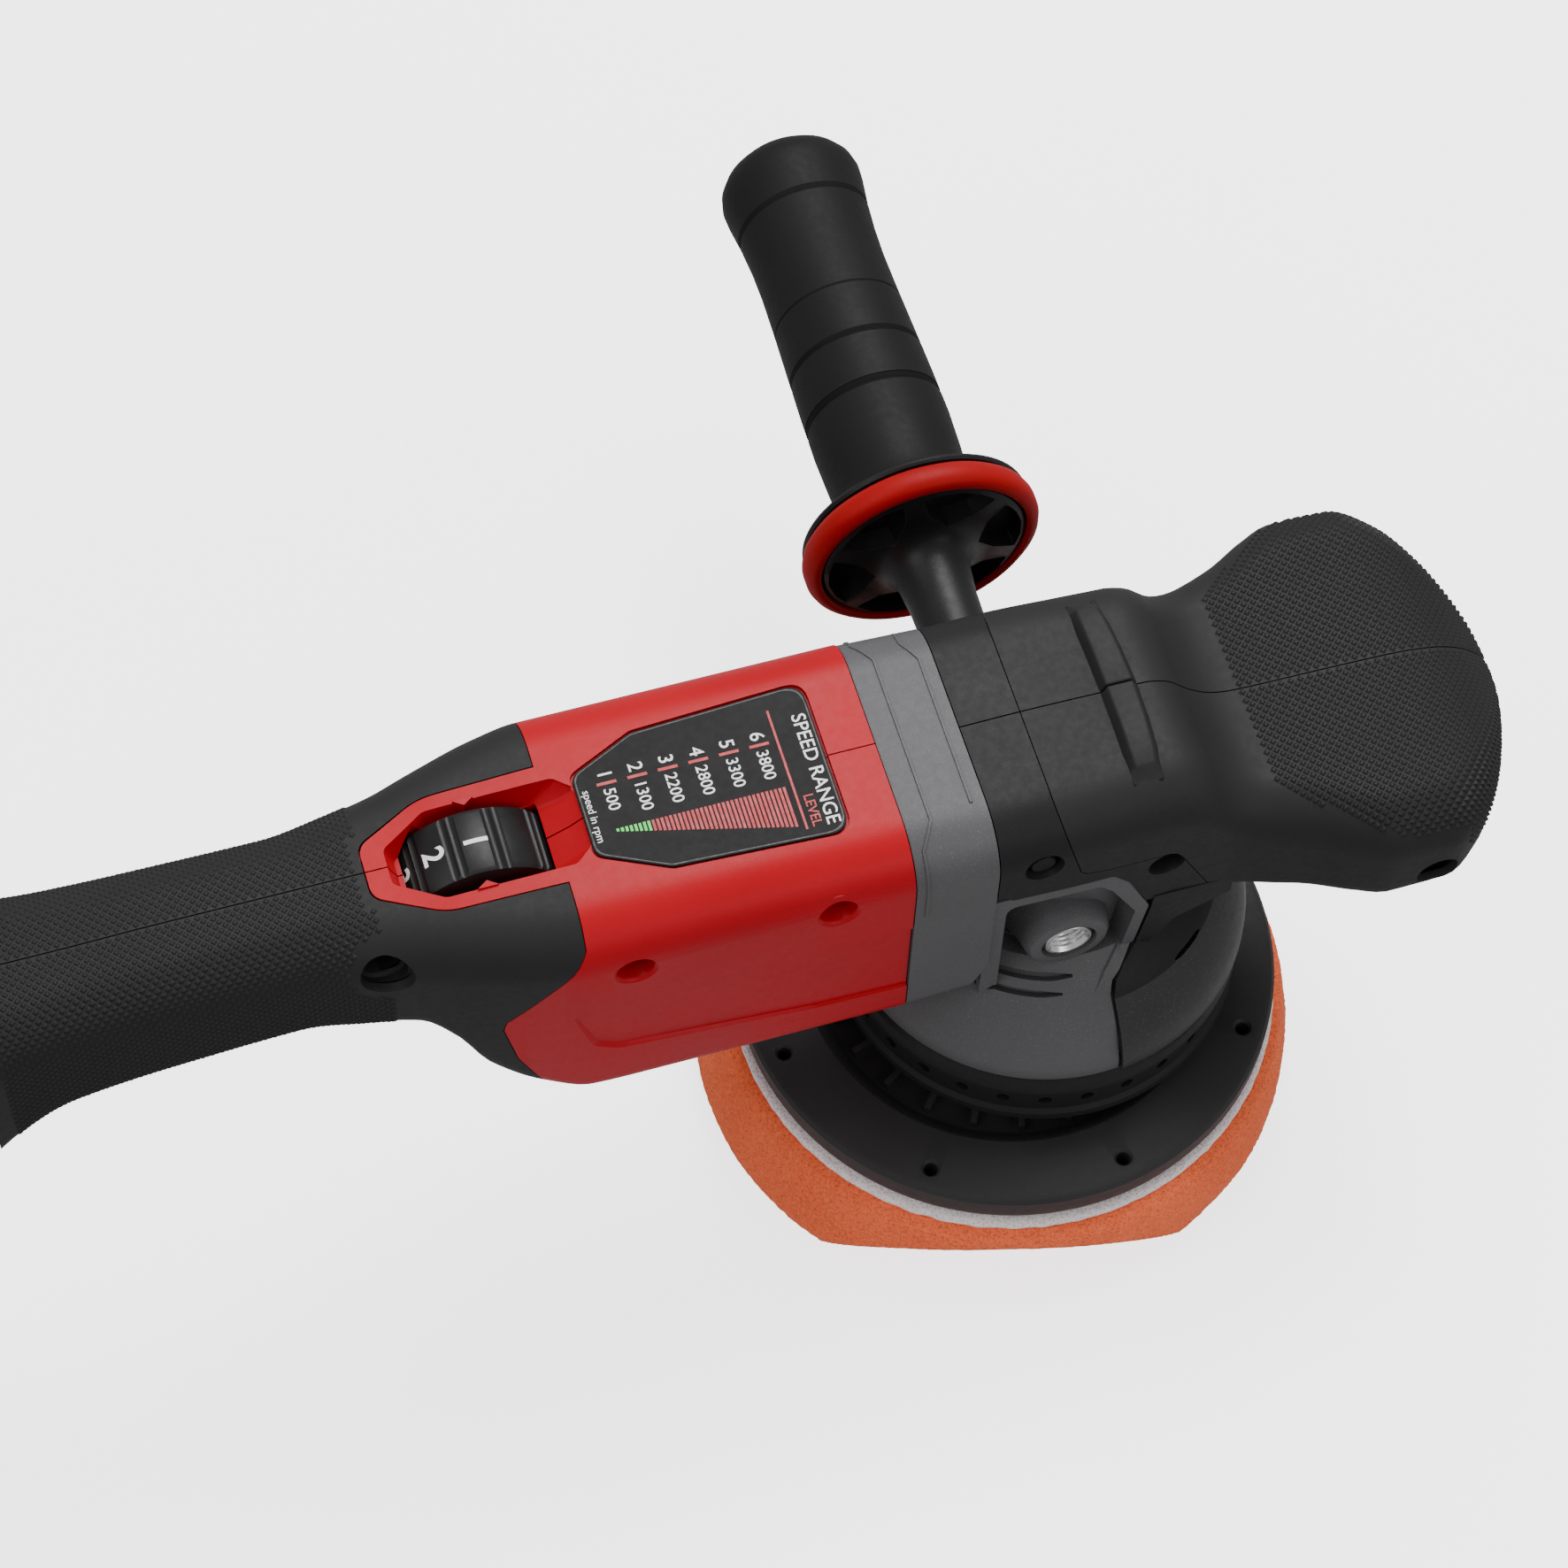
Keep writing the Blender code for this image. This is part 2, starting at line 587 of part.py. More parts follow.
def terminal_block():
    block = box("terminal_block", (-265.6, -251.5), (-11.7, 11.7), (110.3, 129.7), BLACK_PLASTIC)
    for index in range(4):
        y = -7.5 + 5 * index
        cut(block, box(f"terminal_slit_{index}", (-267, -258), (y - 0.8, y + 0.8), (108, 126)))
    return block


# ---------------------------------------------------------------- motor

def motor():
    axis = (0, MOTOR_Z)
    core = turned("stator_core", "X", axis, [(22, -70), (22, -96), (12.2, -96), (12.2, -70)], DARK_STEEL,
                  steps=28, ring=True)
    for index in range(6):
        angle = math.radians(60 * index + 30)
        centre = (15.4 * math.cos(angle), MOTOR_Z + 15.4 * math.sin(angle))
        cut(core, cylinder(f"stator_slot_{index}", "X", centre, (-97, -69), 2.6, sides=8))
    rear = turned("stator_windings", "X", axis,
                  [(19.0, -96.4), (20.2, -98), (19.0, -101.6), (13.6, -101.6), (13.0, -96.4)],
                  COPPER, steps=20, ring=True)
    front = turned("windings_front", "X", axis,
                   [(19.0, -64.4), (20.2, -67), (19.0, -69.6), (13.0, -69.6), (13.6, -64.4)],
                   None, steps=20, ring=True)
    join(rear, front)
    for index in range(6):
        angle = math.radians(60 * index + 30)
        centre = (15.4 * math.cos(angle), MOTOR_Z + 15.4 * math.sin(angle))
        join(rear, cylinder(f"coil_{index}", "X", centre, (-97.4, -68.6), 2.2, sides=6))
    turned("rotor_core", "X", axis, [(11.6, -71), (11.6, -95), (4.3, -95), (4.3, -71)], DARK_STEEL, steps=24,
           ring=True)
    turned("motor_shaft", "X", axis,
           [(0, -12.4), (2.4, -12.4), (2.4, -23.4), (4.0, -23.4), (4.0, -104.4), (3.4, -104.4), (3.4, -111.6),
            (0, -111.6)], STEEL, steps=20)
    bearing("motor_bearing_front", "X", axis, (-41.6, -34.8), 4.3, 11.0)
    bearing("motor_bearing_rear", "X", axis, (-110.9, -104.9), 3.7, 9.5)


def bearing(name, axis, centre, span, bore, outer):
    """A sealed ball bearing as one ring, with the shield set back between the races."""
    low, high = span
    wall = (outer - bore) * 0.26
    profile = [(outer, high), (outer, low), (bore, low), (bore, high - 0.5), (bore + wall, high),
               (outer - wall, high)]
    return turned(name, axis, centre, profile, STEEL, steps=20, ring=True)


def rear_bearing_holder(side, shell):
    """The half ring in the shell that holds the motor's rear bearing."""
    holder = box(f"holder_{side_name(side)}", (-111.4, -104.8), side_span(side, SEAM, 27.9), (98, 122.9))
    join(shell, holder)
    cut(shell, cylinder(f"holder_bore_{side_name(side)}", "X", (0, MOTOR_Z), (-111.2, -104), 9.8, sides=32),
        cylinder(f"holder_hole_{side_name(side)}", "X", (0, MOTOR_Z), (-114, -104), 6.0, sides=24))


def cooling_fan():
    """A radial fan: a back plate, a hub and slanted blades."""
    fan = turned("cooling_fan", "X", (0, MOTOR_Z), [(21.5, -49.0), (21.5, -50.6), (7, -50.6), (7, -60), (4.3, -60),
                                                    (4.3, -49.0)], BLACK_PLASTIC, steps=24, ring=True)
    for index in range(11):
        blade = box(f"blade_{index}", (-59, -50.2), (-0.55, 0.55), (9.0, 21))
        angle = math.radians(360 / 11 * index)
        blade.data.transform(Matrix.Translation((0, 0, MOTOR_Z * MM)) @ Matrix.Rotation(angle, 4, "X")
                             @ Matrix.Translation((0, 3.0 * MM, 0)))
        join(fan, blade)
    return fan


# ---------------------------------------------------------------- bevel gears

PINION_PITCH = MODULE * PINION_TEETH / 2
CROWN_PITCH = MODULE * CROWN_TEETH / 2
SMALL_END = 0.68      # size of a tooth's inner end, on lines to the gears' shared apex
ADDENDUM = 0.78 * MODULE
DEDENDUM = 1.12 * MODULE


def tooth_steps(teeth, phase, tip, base):
    """For each tooth: four angles and whether each lies on the tip. tip and base are shares of a pitch."""
    pitch = 2 * math.pi / teeth
    for index in range(teeth):
        middle = phase + index * pitch
        yield middle - base / 2 * pitch, False
        yield middle - tip / 2 * pitch, True
        yield middle + tip / 2 * pitch, True
        yield middle + base / 2 * pitch, False


def pinion_gear():
    """Teeth that taper to the apex at the spindle's axis; one tooth points straight up."""
    bm = bmesh.new()
    rings = []
    for x, size in ((-CROWN_PITCH, 1.0), (-CROWN_PITCH * SMALL_END, SMALL_END)):
        ring = []
        for angle, on_tip in tooth_steps(PINION_TEETH, 0.0, 0.16, 0.56):
            radius = (PINION_PITCH + (ADDENDUM if on_tip else -DEDENDUM)) * size
            ring.append(bm.verts.new(Vector((x, -radius * math.sin(angle), MOTOR_Z + radius * math.cos(angle))) * MM))
        rings.append(ring)
    bridge(bm, rings)
    gear = mesh_object("pinion_gear", bm, DARK_STEEL)
    return cut(gear, cylinder("pinion_bore", "X", (0, MOTOR_Z), (-24, -8), 2.7, sides=20))


def crown_gear():
    """A ring of teeth facing down on the pinion; a gap stands over the pinion's top tooth."""
    bm = bmesh.new()
    loops = {name: [] for name in ("bore_low", "inner", "outer", "rim", "bore_high")}
    half_pitch = math.pi / CROWN_TEETH
    for angle, on_tip in tooth_steps(CROWN_TEETH, math.pi + half_pitch, 0.16, 0.54):
        depth = PINION_PITCH + (-ADDENDUM if on_tip else DEDENDUM)
        spots = {"bore_low": (6.4, MOTOR_Z + (PINION_PITCH + DEDENDUM) * SMALL_END),
                 "inner": (CROWN_PITCH * SMALL_END, MOTOR_Z + depth * SMALL_END),
                 "outer": (CROWN_PITCH, MOTOR_Z + depth), "rim": (CROWN_PITCH, MOTOR_Z + 13.0),
                 "bore_high": (6.4, MOTOR_Z + 13.0)}
        for name, (radius, z) in spots.items():
            loops[name].append(bm.verts.new(Vector((radius * math.cos(angle), radius * math.sin(angle), z)) * MM))
    order = ["bore_low", "inner", "outer", "rim", "bore_high", "bore_low"]
    bridge(bm, [loops[name] for name in order], capped=False)
    return mesh_object("crown_gear", bm, DARK_STEEL)


# ---------------------------------------------------------------- gear housing and head covers

def gear_housing():
    """The grey casting: collar, gear case, handle bosses and dome."""
    case = casing("gear_housing", [(COLLAR_REAR, 30.5, 85.4, 151.4, 6.6, 12.5), (-40, 30.5, 85.4, 151.2, 6.6, 12.5),
                                   (COLLAR_FRONT, 30.5, 87.0, 150.2, 6.0, 12.5)], 0.0, 0, GREY_PLASTIC)
    cut(case, outline_solid("collar_step", [(-23, 99), (-24.2, 99), (-29.5, 87.8), (-29.5, 80), (-23, 80)], "Y",
                            (-40, 40)))
    join(case, outline_solid("side_block", SIDE_FRAME, "Y", (-29.7, 29.7)))
    for side in (LEFT, RIGHT):
        cut(case, outline_solid(f"side_pocket_{side_name(side)}", SIDE_POCKET, "Y", side_span(side, 25.9, 40)))
    join(case, cylinder("gear_case", "Z", (0, 0), (86, 128), 25.2, sides=40))
    join(case, turned("dome", "Z", (0, 0), [(0, 91.3)] + list(reversed(DOME)) + [(0, 60.8)], steps=36))
    for side in (LEFT, RIGHT):
        join(case, cylinder(f"boss_{side_name(side)}", "Y", (BOSS_X, BOSS_Z), side_span(side, 20.3, BOSS_FACE), 9.2,
                            sides=18))
    cut(case, turned("carrier_room", "Z", (0, 0), [(0, 70.8), (32, 70.8), (41.8, 65.5), (41.8, 59), (0, 59)],
                     steps=32))
    room = turned("skirt_room", "Z", (0, 0), [(60, 113), (60, 58), (43.8, 58), (43.8, 70), (41.8, 80), (36.9, 92),
                                              (31.3, 103), (30.4, 113)], steps=36, ring=True)
    cut(case, keep(room, box("skirt_reach", (8.9, 80), (-80, 80), (50, 120))))
    return case


def gear_housing_bores(case):
    cut(case, cylinder("crown_room", "Z", (0, 0), (MOTOR_Z + 3.2, 130), 22.6, sides=32),
        cylinder("pinion_room", "X", (0, MOTOR_Z), (-31, -6), 9.4, sides=24),
        cylinder("spindle_room", "Z", (0, 0), (88, 120), 12.5, sides=32),
        cylinder("spindle_hole", "Z", (0, 0), (70, 90), 8.2, sides=24),
        cylinder("lower_seat", "Z", (0, 0), (69, 82.3), 16.3, sides=28),
        cylinder("shaft_hole", "X", (0, MOTOR_Z), (-44, -28), 6.0, sides=20),
        cylinder("front_seat", "X", (0, MOTOR_Z), (-44, -34.5), 11.3, sides=32),
        cylinder("insert_bore", "Y", (BOSS_X, BOSS_Z), (-32, -17.7), 6.3, sides=24),
        cylinder("insert_bore_far", "Y", (BOSS_X, BOSS_Z), (17.7, 32), 6.3, sides=24))
    for side in (LEFT, RIGHT):
        cut(case, cylinder(f"strip_screw_hole_{side_name(side)}", "Y", STRIP_SCREW, side_span(side, 19.2, 30), 1.9,
                           sides=12))
    for modifier in case.modifiers:
        modifier.solver = "MANIFOLD"
    return case


def gearbox_cover():
    """The lid over the gears with the upper bearing's seat and the cover screws' lugs."""
    lid = cylinder("gearbox_cover", "Z", (0, 0), (128.3, 132), 25.0, ZINC, sides=28)
    join(lid, box("lid_rear", (-23.4, -6), (-24.8, 24.8), (128.3, 132)),
         turned("lid_boss", "Z", (0, 0), [(0, 139.5), (12.8, 139.5), (13.8, 138.5), (13.8, 131), (0, 131)], steps=20))
    for side in (LEFT, RIGHT):
        join(lid, box(f"lid_lug_{side_name(side)}", (-19.5, -8.5), side_span(side, 16, 23.6), (131, 141.2)))
        cut(lid, cylinder(f"lug_hole_{side_name(side)}", "Y", BAND_SCREW, side_span(side, 15, 27), 1.9, sides=12))
    cut(lid, box("lid_end", (-30, -23.7), (-30, 30), (120, 150)))
    return cut(lid, cylinder("upper_seat", "Z", (0, 0), (127, 136.4), 11.3, sides=20))


def shared_head_cutters():
    under = casing("under_boot", [(-60, *HEAD[0][1:])] + HEAD, UNDER_SKIN)
    layer = outline_solid("boot_layer", BOOT_OUTLINE, "Y", (-70, 70))
    cut(layer, under)
    inner = casing("head_void", [(-60, *HEAD[0][1:])] + HEAD[:-1], DEEP_WALL)
    skirt_inner = [(radius - 2.2, z) for radius, z in SKIRT]
    room = turned("skirt_void", "Z", (0, 0), [(0, 113), (30.6, 113)] + list(reversed(skirt_inner))
                  + [(44.2, 58), (0, 58)], steps=40)
    return {"layer": layer, "inner": inner, "room": room}


def head_cover(side, cutters):
    """One half of the hard black cover: band, nose shell and the skirt over the dome's front."""
    tag = side_name(side)
    cover = casing("head_cover_" + tag, HEAD, 0.0, side, BLACK_PLASTIC)
    cut(cover, cutters["layer"])
    skirt = turned(f"skirt_{tag}", "Z", (0, 0), [(0, 110)] + list(reversed(SKIRT)) + [(0, 62.6)], steps=40)
    keep(skirt, box(f"skirt_side_{tag}", (9.3, 80), side_span(side, SEAM, 70), (50, 120)))
    join(cover, skirt)
    cut(cover, cutters["inner"], cutters["room"])
    cut(cover, outline_solid(f"cover_opening_{tag}", COVER_OPENING, "Y", (-60, 60)))
    for name, x, z in (("band_screw", *BAND_SCREW), ("strip_screw", *STRIP_SCREW)):
        cut(cover, cylinder(f"{name}_sink_{tag}", "Y", (x, z), side_span(side, 27.6, 34), 3.9, sides=16),
            cylinder(f"{name}_bore_{tag}", "Y", (x, z), side_span(side, 20, 34), 1.9, sides=12))
    long_screw_seat(cover, side, "nose_screw", *NOSE_SCREW, 38.4)
    return cover


def head_boot(side, cutters):
    """One half of the rubber boot over the head."""
    tag = side_name(side)
    boot = casing("head_boot_" + tag, HEAD, 0.0, side, BLACK_RUBBER)
    region = [(-9.7, 160), (-10.7, 150), (-4.8, 130.1), (1.3, 128.9), (15.8, 127.8), (18.3, 125.2), (28.3, 103.8),
              (34.3, 90), (110, 90), (110, 160)]
    keep(boot, outline_solid(f"boot_region_{tag}", region, "Y", (-70, 70)))
    cut(boot, casing(f"boot_inner_{tag}", [(-60, *HEAD[0][1:])] + HEAD, SKIN))
    cut(boot, turned(f"boot_hole_{tag}", "Z", (0, 0), [(0, 112), (40, 112), (40, 90), (0, 90)], steps=40))
    join(boot, outline_solid(f"boot_rib_{tag}", [(7.2, side * SEAM), (15.2, side * SEAM), (13.4, side * 22.6),
                                                 (7.0, side * 22)], "Z", (148.6, 151.6)))
    if side == RIGHT:
        cut(boot, cylinder("boot_screw_hole", "Y", NOSE_SCREW, (-60, -20), 4.2, sides=16))
    cut(boot, cylinder(f"boot_strip_hole_{tag}", "Y", STRIP_SCREW, side_span(side, 20, 40), 4.3, sides=16))
    return boot


def short_screw(name, x, z, side):
    """A short screw through a cover's wall into the gear housing."""
    profile = [(0, 19.8), (1.6, 19.8), (1.6, 27.9), (3.3, 27.9), (3.3, 28.9), (2.6, 29.6), (0, 29.6)]
    points = [(radius, side * along) for radius, along in profile]
    if side == LEFT:
        points.reverse()
    return turned(name, "Y", (x, z), points, STEEL, steps=12)


def vent_ring():
    """The black ring under the dome with thirty air holes."""
    ring = turned("vent_ring", "Z", (0, 0), [(44.6, 60.4), (46.8, 57.6), (46.8, 43.4), (43.4, 43.4),
                                             (43.4, 60.4)], BLACK_PLASTIC, steps=60, ring=True)
    for index in range(15):
        hole = cylinder(f"vent_{index}", "X", (0, 51), (-60, 60), 1.4, sides=4)
        hole.rotation_euler = (0, math.pi / 2, math.radians(3 + 12 * index))
        hole.location = (0, 0, 51 * MM)
        cut(ring, hole)
    return ring


# ---------------------------------------------------------------- spindle, eccentric and pad

def spindle_group():
    turned("drive_spindle", "Z", (0, 0), [(0, 136), (3.9, 136), (3.9, 127.6), (6.0, 127.6), (6.0, 63.2), (0, 63.2)],
           STEEL, steps=24)
    bearing("spindle_bearing_lower", "Z", (0, 0), (71.4, 82), 6.3, 16.0)
    bearing("spindle_bearing_upper", "Z", (0, 0), (129.2, 136.1), 4.2, 11.0)
    carrier = cylinder("eccentric_carrier", "Z", (PAD_X, 0), (46.4, 61.4), 18.5, ZINC, sides=24)
    weight = cylinder("counterweight", "Z", (0, 0), (48, 61.4), 36.5, sides=36)
    keep(weight, box("weight_side", (4, 40), (-30, 30), (40, 70)))
    join(carrier, weight, cylinder("carrier_hub", "Z", (0, 0), (60, 70.6), 9.6, sides=16),
         box("weight_bridge", (0, 8), (-16, 16), (48, 61.4)))
    cut(carrier, cylinder("carrier_seat", "Z", (PAD_X, 0), (45, 58.2), 14.3, sides=20),
        cylinder("carrier_bore", "Z", (0, 0), (62.9, 72), 6.3, sides=24))
    bearing("eccentric_bearing", "Z", (PAD_X, 0), (46.4, 57.8), 6.3, 14.0)


def pad_group():
    centre = (PAD_X, 0)
    turned("pad_spindle", "Z", centre, [(0, 57.6), (6.0, 57.6), (6.0, 45.6), (9.0, 45.6), (9.0, 41.3), (4.4, 41.3),
                                        (4.4, 51.6), (0, 51.6)], STEEL, steps=24)
    plate = turned("backing_plate", "Z", centre,
                   [(0, 41), (13, 41), (17, 32), (43.5, 32), (46.8, PLATE_TOP), (PLATE_RADIUS - 0.8, PLATE_TOP),
                    (PLATE_RADIUS, PLATE_TOP - 0.8), (PLATE_RADIUS, 29.5), (PLATE_RADIUS - 2.5, 26.6), (0, 26.6)],
                   BLACK_PLASTIC, steps=36)
    cut(plate, cylinder("plate_bore", "Z", centre, (25, 43), 4.4, sides=20),
        cylinder("plate_counterbore", "Z", centre, (25, 33.4), 9.0, sides=24))
    for index in range(8):
        angle = math.radians(45 * index + 10)
        spot = (PAD_X + 57 * math.cos(angle), 57 * math.sin(angle))
        cut(plate, cylinder(f"plate_hole_{index}", "Z", spot, (25, 40), 1.6, sides=5))
    screw = turned("pad_screw", "Z", centre, [(0, 50.8), (3.2, 50.8), (4.0, 50), (4.0, 33.1), (8.2, 33.1),
                                              (8.2, 28.6), (7.6, 28), (0, 28)], STEEL, steps=16)
    cut(screw, cylinder("pad_screw_socket", "Z", centre, (27, 31.5), 3.4, sides=6))
    turned("loop_layer", "Z", centre, [(0, 26.3), (64.6, 26.3), (65.0, 25.6), (65.0, 24.3), (0, 24.3)], LOOP_CLOTH,
           steps=40)
    turned("foam_pad", "Z", centre, [(0, 24), (64.8, 24), (66.2, 22.8), (69.5, 10), (PAD_RADIUS, 5.5), (69, 1.8),
                                     (66.5, 0), (0, 0)], ORANGE_FOAM, steps=40)


# ---------------------------------------------------------------- side handle

def side_handle():
    centre = (BOSS_X, BOSS_Z)
    stem = turned("handle_stem", "Y", centre,
                  [(0, 178), (9.0, 178), (9.0, 82), (26.8, 82), (26.6, 80), (24.2, 80), (24.2, 74.2), (23.2, 73.2),
                   (12, 72.4), (8.2, 67), (7.6, 40), (8.6, 34), (8.6, 30.4), (4.3, 30.4), (4.3, 54), (0, 54)],
                  BLACK_PLASTIC, steps=24)
    for index in range(6):
        angle = math.radians(60 * index + 30)
        spot = (BOSS_X + 17.8 * math.cos(angle), BOSS_Z + 17.8 * math.sin(angle))
        cut(stem, cylinder(f"flange_pocket_{index}", "Y", spot, (70, 76), 3.9, sides=6))
    turned("handle_ring", "Y", centre, [(25.8, 79.7), (27.4, 78.4), (27.8, 76.4), (27.4, 74.4), (26.0, 73),
                                        (24.5, 73), (24.5, 79.7)], RED_RUBBER, steps=28, ring=True)
    turned("handle_grip", "Y", centre,
           [(0, 188), (9, 187.4), (14.5, 184.5), (17.2, 179), (15.4, 155), (16.8, 102), (16.2, 82.3), (9.3, 82.3),
            (9.3, 178.4), (0, 178.4)], BLACK_RUBBER, steps=24)
    stud = turned("handle_stud", "Y", centre, [(0, 53.5), (3.2, 53.5), (4.0, 52.7), (4.0, 20.6), (3.2, 19.8),
                                               (0, 19.8)], STEEL, steps=16)
    return stem, stud


def thread_insert(side):
    low, high = side_span(side, 18, BOSS_FACE - 0.4)
    return turned("thread_insert_" + side_name(side), "Y", (BOSS_X, BOSS_Z),
                  [(6.0, high), (6.0, low), (4.3, low), (4.3, high)], STEEL, steps=24, ring=True)


# ---------------------------------------------------------------- battery

BATTERY_TOP, BATTERY_BOTTOM, BATTERY_HALF = 178.0, 79.0, 37.5
CELL_RADIUS, CELL_PITCH = 9.05, 18.3


def battery():
    front = box("battery_base", (-283, -259), (-BATTERY_HALF, BATTERY_HALF), (BATTERY_BOTTOM, BATTERY_TOP),
                BLACK_PLASTIC)
    bevel(front, 4.0, 2)
    cut(front, outline_solid("rail_slot", [(x + 0.4 if x > -258 else x, y) for x, y in tongue_outline(0, 0.45)], "Z",
                             (70, 161)),
        box("cell_room_front", (-284, -270.6), (-34.5, 34.5), (82, 175)),
        box("latch_room", (-268.6, -255), (-15, 15), (165.6, 185)))
    cover = box("battery_cover", (-306, -283.3), (-BATTERY_HALF, BATTERY_HALF), (BATTERY_BOTTOM, BATTERY_TOP),
                BLACK_PLASTIC)
    bevel(cover, 5.0, 2)
    cut(cover, box("cell_room_rear", (-303, -280), (-34.5, 34.5), (82, 175)))
    latch = box("battery_latch", (-268, -259.6), (-14, 14), (170.4, 182), RED_PLASTIC)
    bevel(latch, 1.2)
    for index in range(5):
        height = 91.4 + CELL_PITCH * index
        cylinder(f"battery_cell_{index + 1}", "Y", (-286.5, height), (-32.5, 32.5), CELL_RADIUS, CELL_WRAP, sides=24)


# ---------------------------------------------------------------- assembly

def build():
    body_cutters = shared_body_cutters()
    for side in (LEFT, RIGHT):
        shell = housing(side, body_cutters)
        rear_bearing_holder(side, shell)
        grip_skin(side, body_cutters)
    speed_label()
    speed_wheel()
    speed_sensor()
    trigger()
    trigger_pin()
    trigger_spring()
    trigger_switch()
    lock_button()
    controller_board()
    motor_leads()
    terminal_block()
    motor()
    cooling_fan()
    pinion_gear()
    crown_gear()
    gear_housing_bores(gear_housing())
    gearbox_cover()
    head_cutters = shared_head_cutters()
    for side in (LEFT, RIGHT):
        head_cover(side, head_cutters)
        head_boot(side, head_cutters)
        thread_insert(side)
    vent_ring()
    spindle_group()
    pad_group()
    side_handle()
    battery()
    for name, (x, z) in BODY_SCREWS.items():
        long_screw(name, x, z)
    long_screw("grip_screw", *GRIP_SCREW)
    long_screw("nose_screw", *NOSE_SCREW)
    short_screw("band_screw", *BAND_SCREW, RIGHT)
    for obj in PARTS.objects:
        obj.data.shade_smooth()
        obj.data.set_sharp_from_angle(angle=math.radians(35))


build()
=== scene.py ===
"""Looks for the cordless dual action polisher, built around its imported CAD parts.

Lengths are in millimetres and become metres through MM. +X points to the nose, +Y to the side handle, +Z up.
"""

import json
import math
import random

import bmesh
import bpy
import numpy as np
from mathutils import Matrix, Vector

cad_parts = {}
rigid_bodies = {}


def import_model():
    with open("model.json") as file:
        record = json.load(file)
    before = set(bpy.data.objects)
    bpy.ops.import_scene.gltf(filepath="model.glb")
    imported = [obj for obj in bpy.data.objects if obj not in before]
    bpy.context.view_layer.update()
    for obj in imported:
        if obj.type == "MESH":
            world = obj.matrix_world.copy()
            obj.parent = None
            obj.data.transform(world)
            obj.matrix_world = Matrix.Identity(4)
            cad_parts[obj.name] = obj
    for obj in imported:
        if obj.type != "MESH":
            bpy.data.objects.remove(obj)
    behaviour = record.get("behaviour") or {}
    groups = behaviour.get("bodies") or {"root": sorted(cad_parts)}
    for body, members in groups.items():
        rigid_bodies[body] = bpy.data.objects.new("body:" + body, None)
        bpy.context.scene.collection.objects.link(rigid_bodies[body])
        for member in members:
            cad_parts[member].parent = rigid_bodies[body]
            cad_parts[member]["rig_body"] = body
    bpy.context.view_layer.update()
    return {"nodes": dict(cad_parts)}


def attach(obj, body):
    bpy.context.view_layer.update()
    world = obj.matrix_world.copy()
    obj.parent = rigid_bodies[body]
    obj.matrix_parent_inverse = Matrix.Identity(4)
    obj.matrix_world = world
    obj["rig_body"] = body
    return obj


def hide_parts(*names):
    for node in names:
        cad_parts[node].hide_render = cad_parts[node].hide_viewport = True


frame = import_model()

MM = 0.001
SEAM = 0.15
GROOVE = 0.22
SKIN, UNDER_SKIN, SHELL, DEEP_WALL = 1.9, 2.2, 2.8, 4.6
LEFT, RIGHT = 1, -1
MOTOR_Z = 111.0
PAD_CENTRE = (-6.0, 0)
BOSS, BOSS_FACE = (-5.4, 98.6), 30.0
WHEEL_X, WHEEL_Z, WHEEL_RADIUS, WHEEL_HALF = -128.0, 135.0, 18.0, 7.7
WHEEL_STEP = 30
BODY_SCREWS, BODY_WALL = ((-58.8, 140.2), (-102.2, 137.8)), 30.5
GRIP_SCREW, GRIP_WALL = (-152.0, 142.2), 17.2
NOSE_SCREW, NOSE_WALL = (72.5, 114.0), 38.4
BAND_SCREW, STRIP_SCREW = (-14.0, 137.3), (14.5, 123.6)
LOCK = (-178, 131)
TRIGGER_SLOT = ((-231, -153), (-7.6, 7.6), (98, 129))
SPINE_LEVELS = [138, 170]

# x, half width, bottom, top, lower radius, upper radius
BODY = [
    (-42.3, 30.5, 85.0, 152.0, 6.6, 12.5), (-104.0, 30.5, 85.0, 152.0, 6.6, 12.5),
    (-112.0, 30.5, 85.5, 152.0, 6.6, 12.5), (-122.0, 29.0, 89.0, 151.8, 8.0, 12.5),
    (-133.0, 26.0, 97.5, 151.5, 9.0, 12.5), (-139.0, 24.0, 109.0, 151.2, 9.0, 12.0),
    (-146.0, 21.8, 116.0, 151.0, 9.0, 12.0), (-157.0, 19.6, 117.0, 151.0, 9.0, 12.0),
    (-170.0, 17.4, 117.0, 151.0, 9.0, 11.0), (-192.0, 17.6, 116.0, 151.0, 9.0, 11.0),
    (-218.0, 18.6, 114.0, 150.5, 9.0, 11.0), (-236.0, 21.5, 106.0, 150.5, 8.0, 11.0),
    (-248.0, 28.0, 93.0, 155.0, 7.0, 10.0), (-258.0, 32.0, 86.0, 163.0, 6.0, 8.0),
]
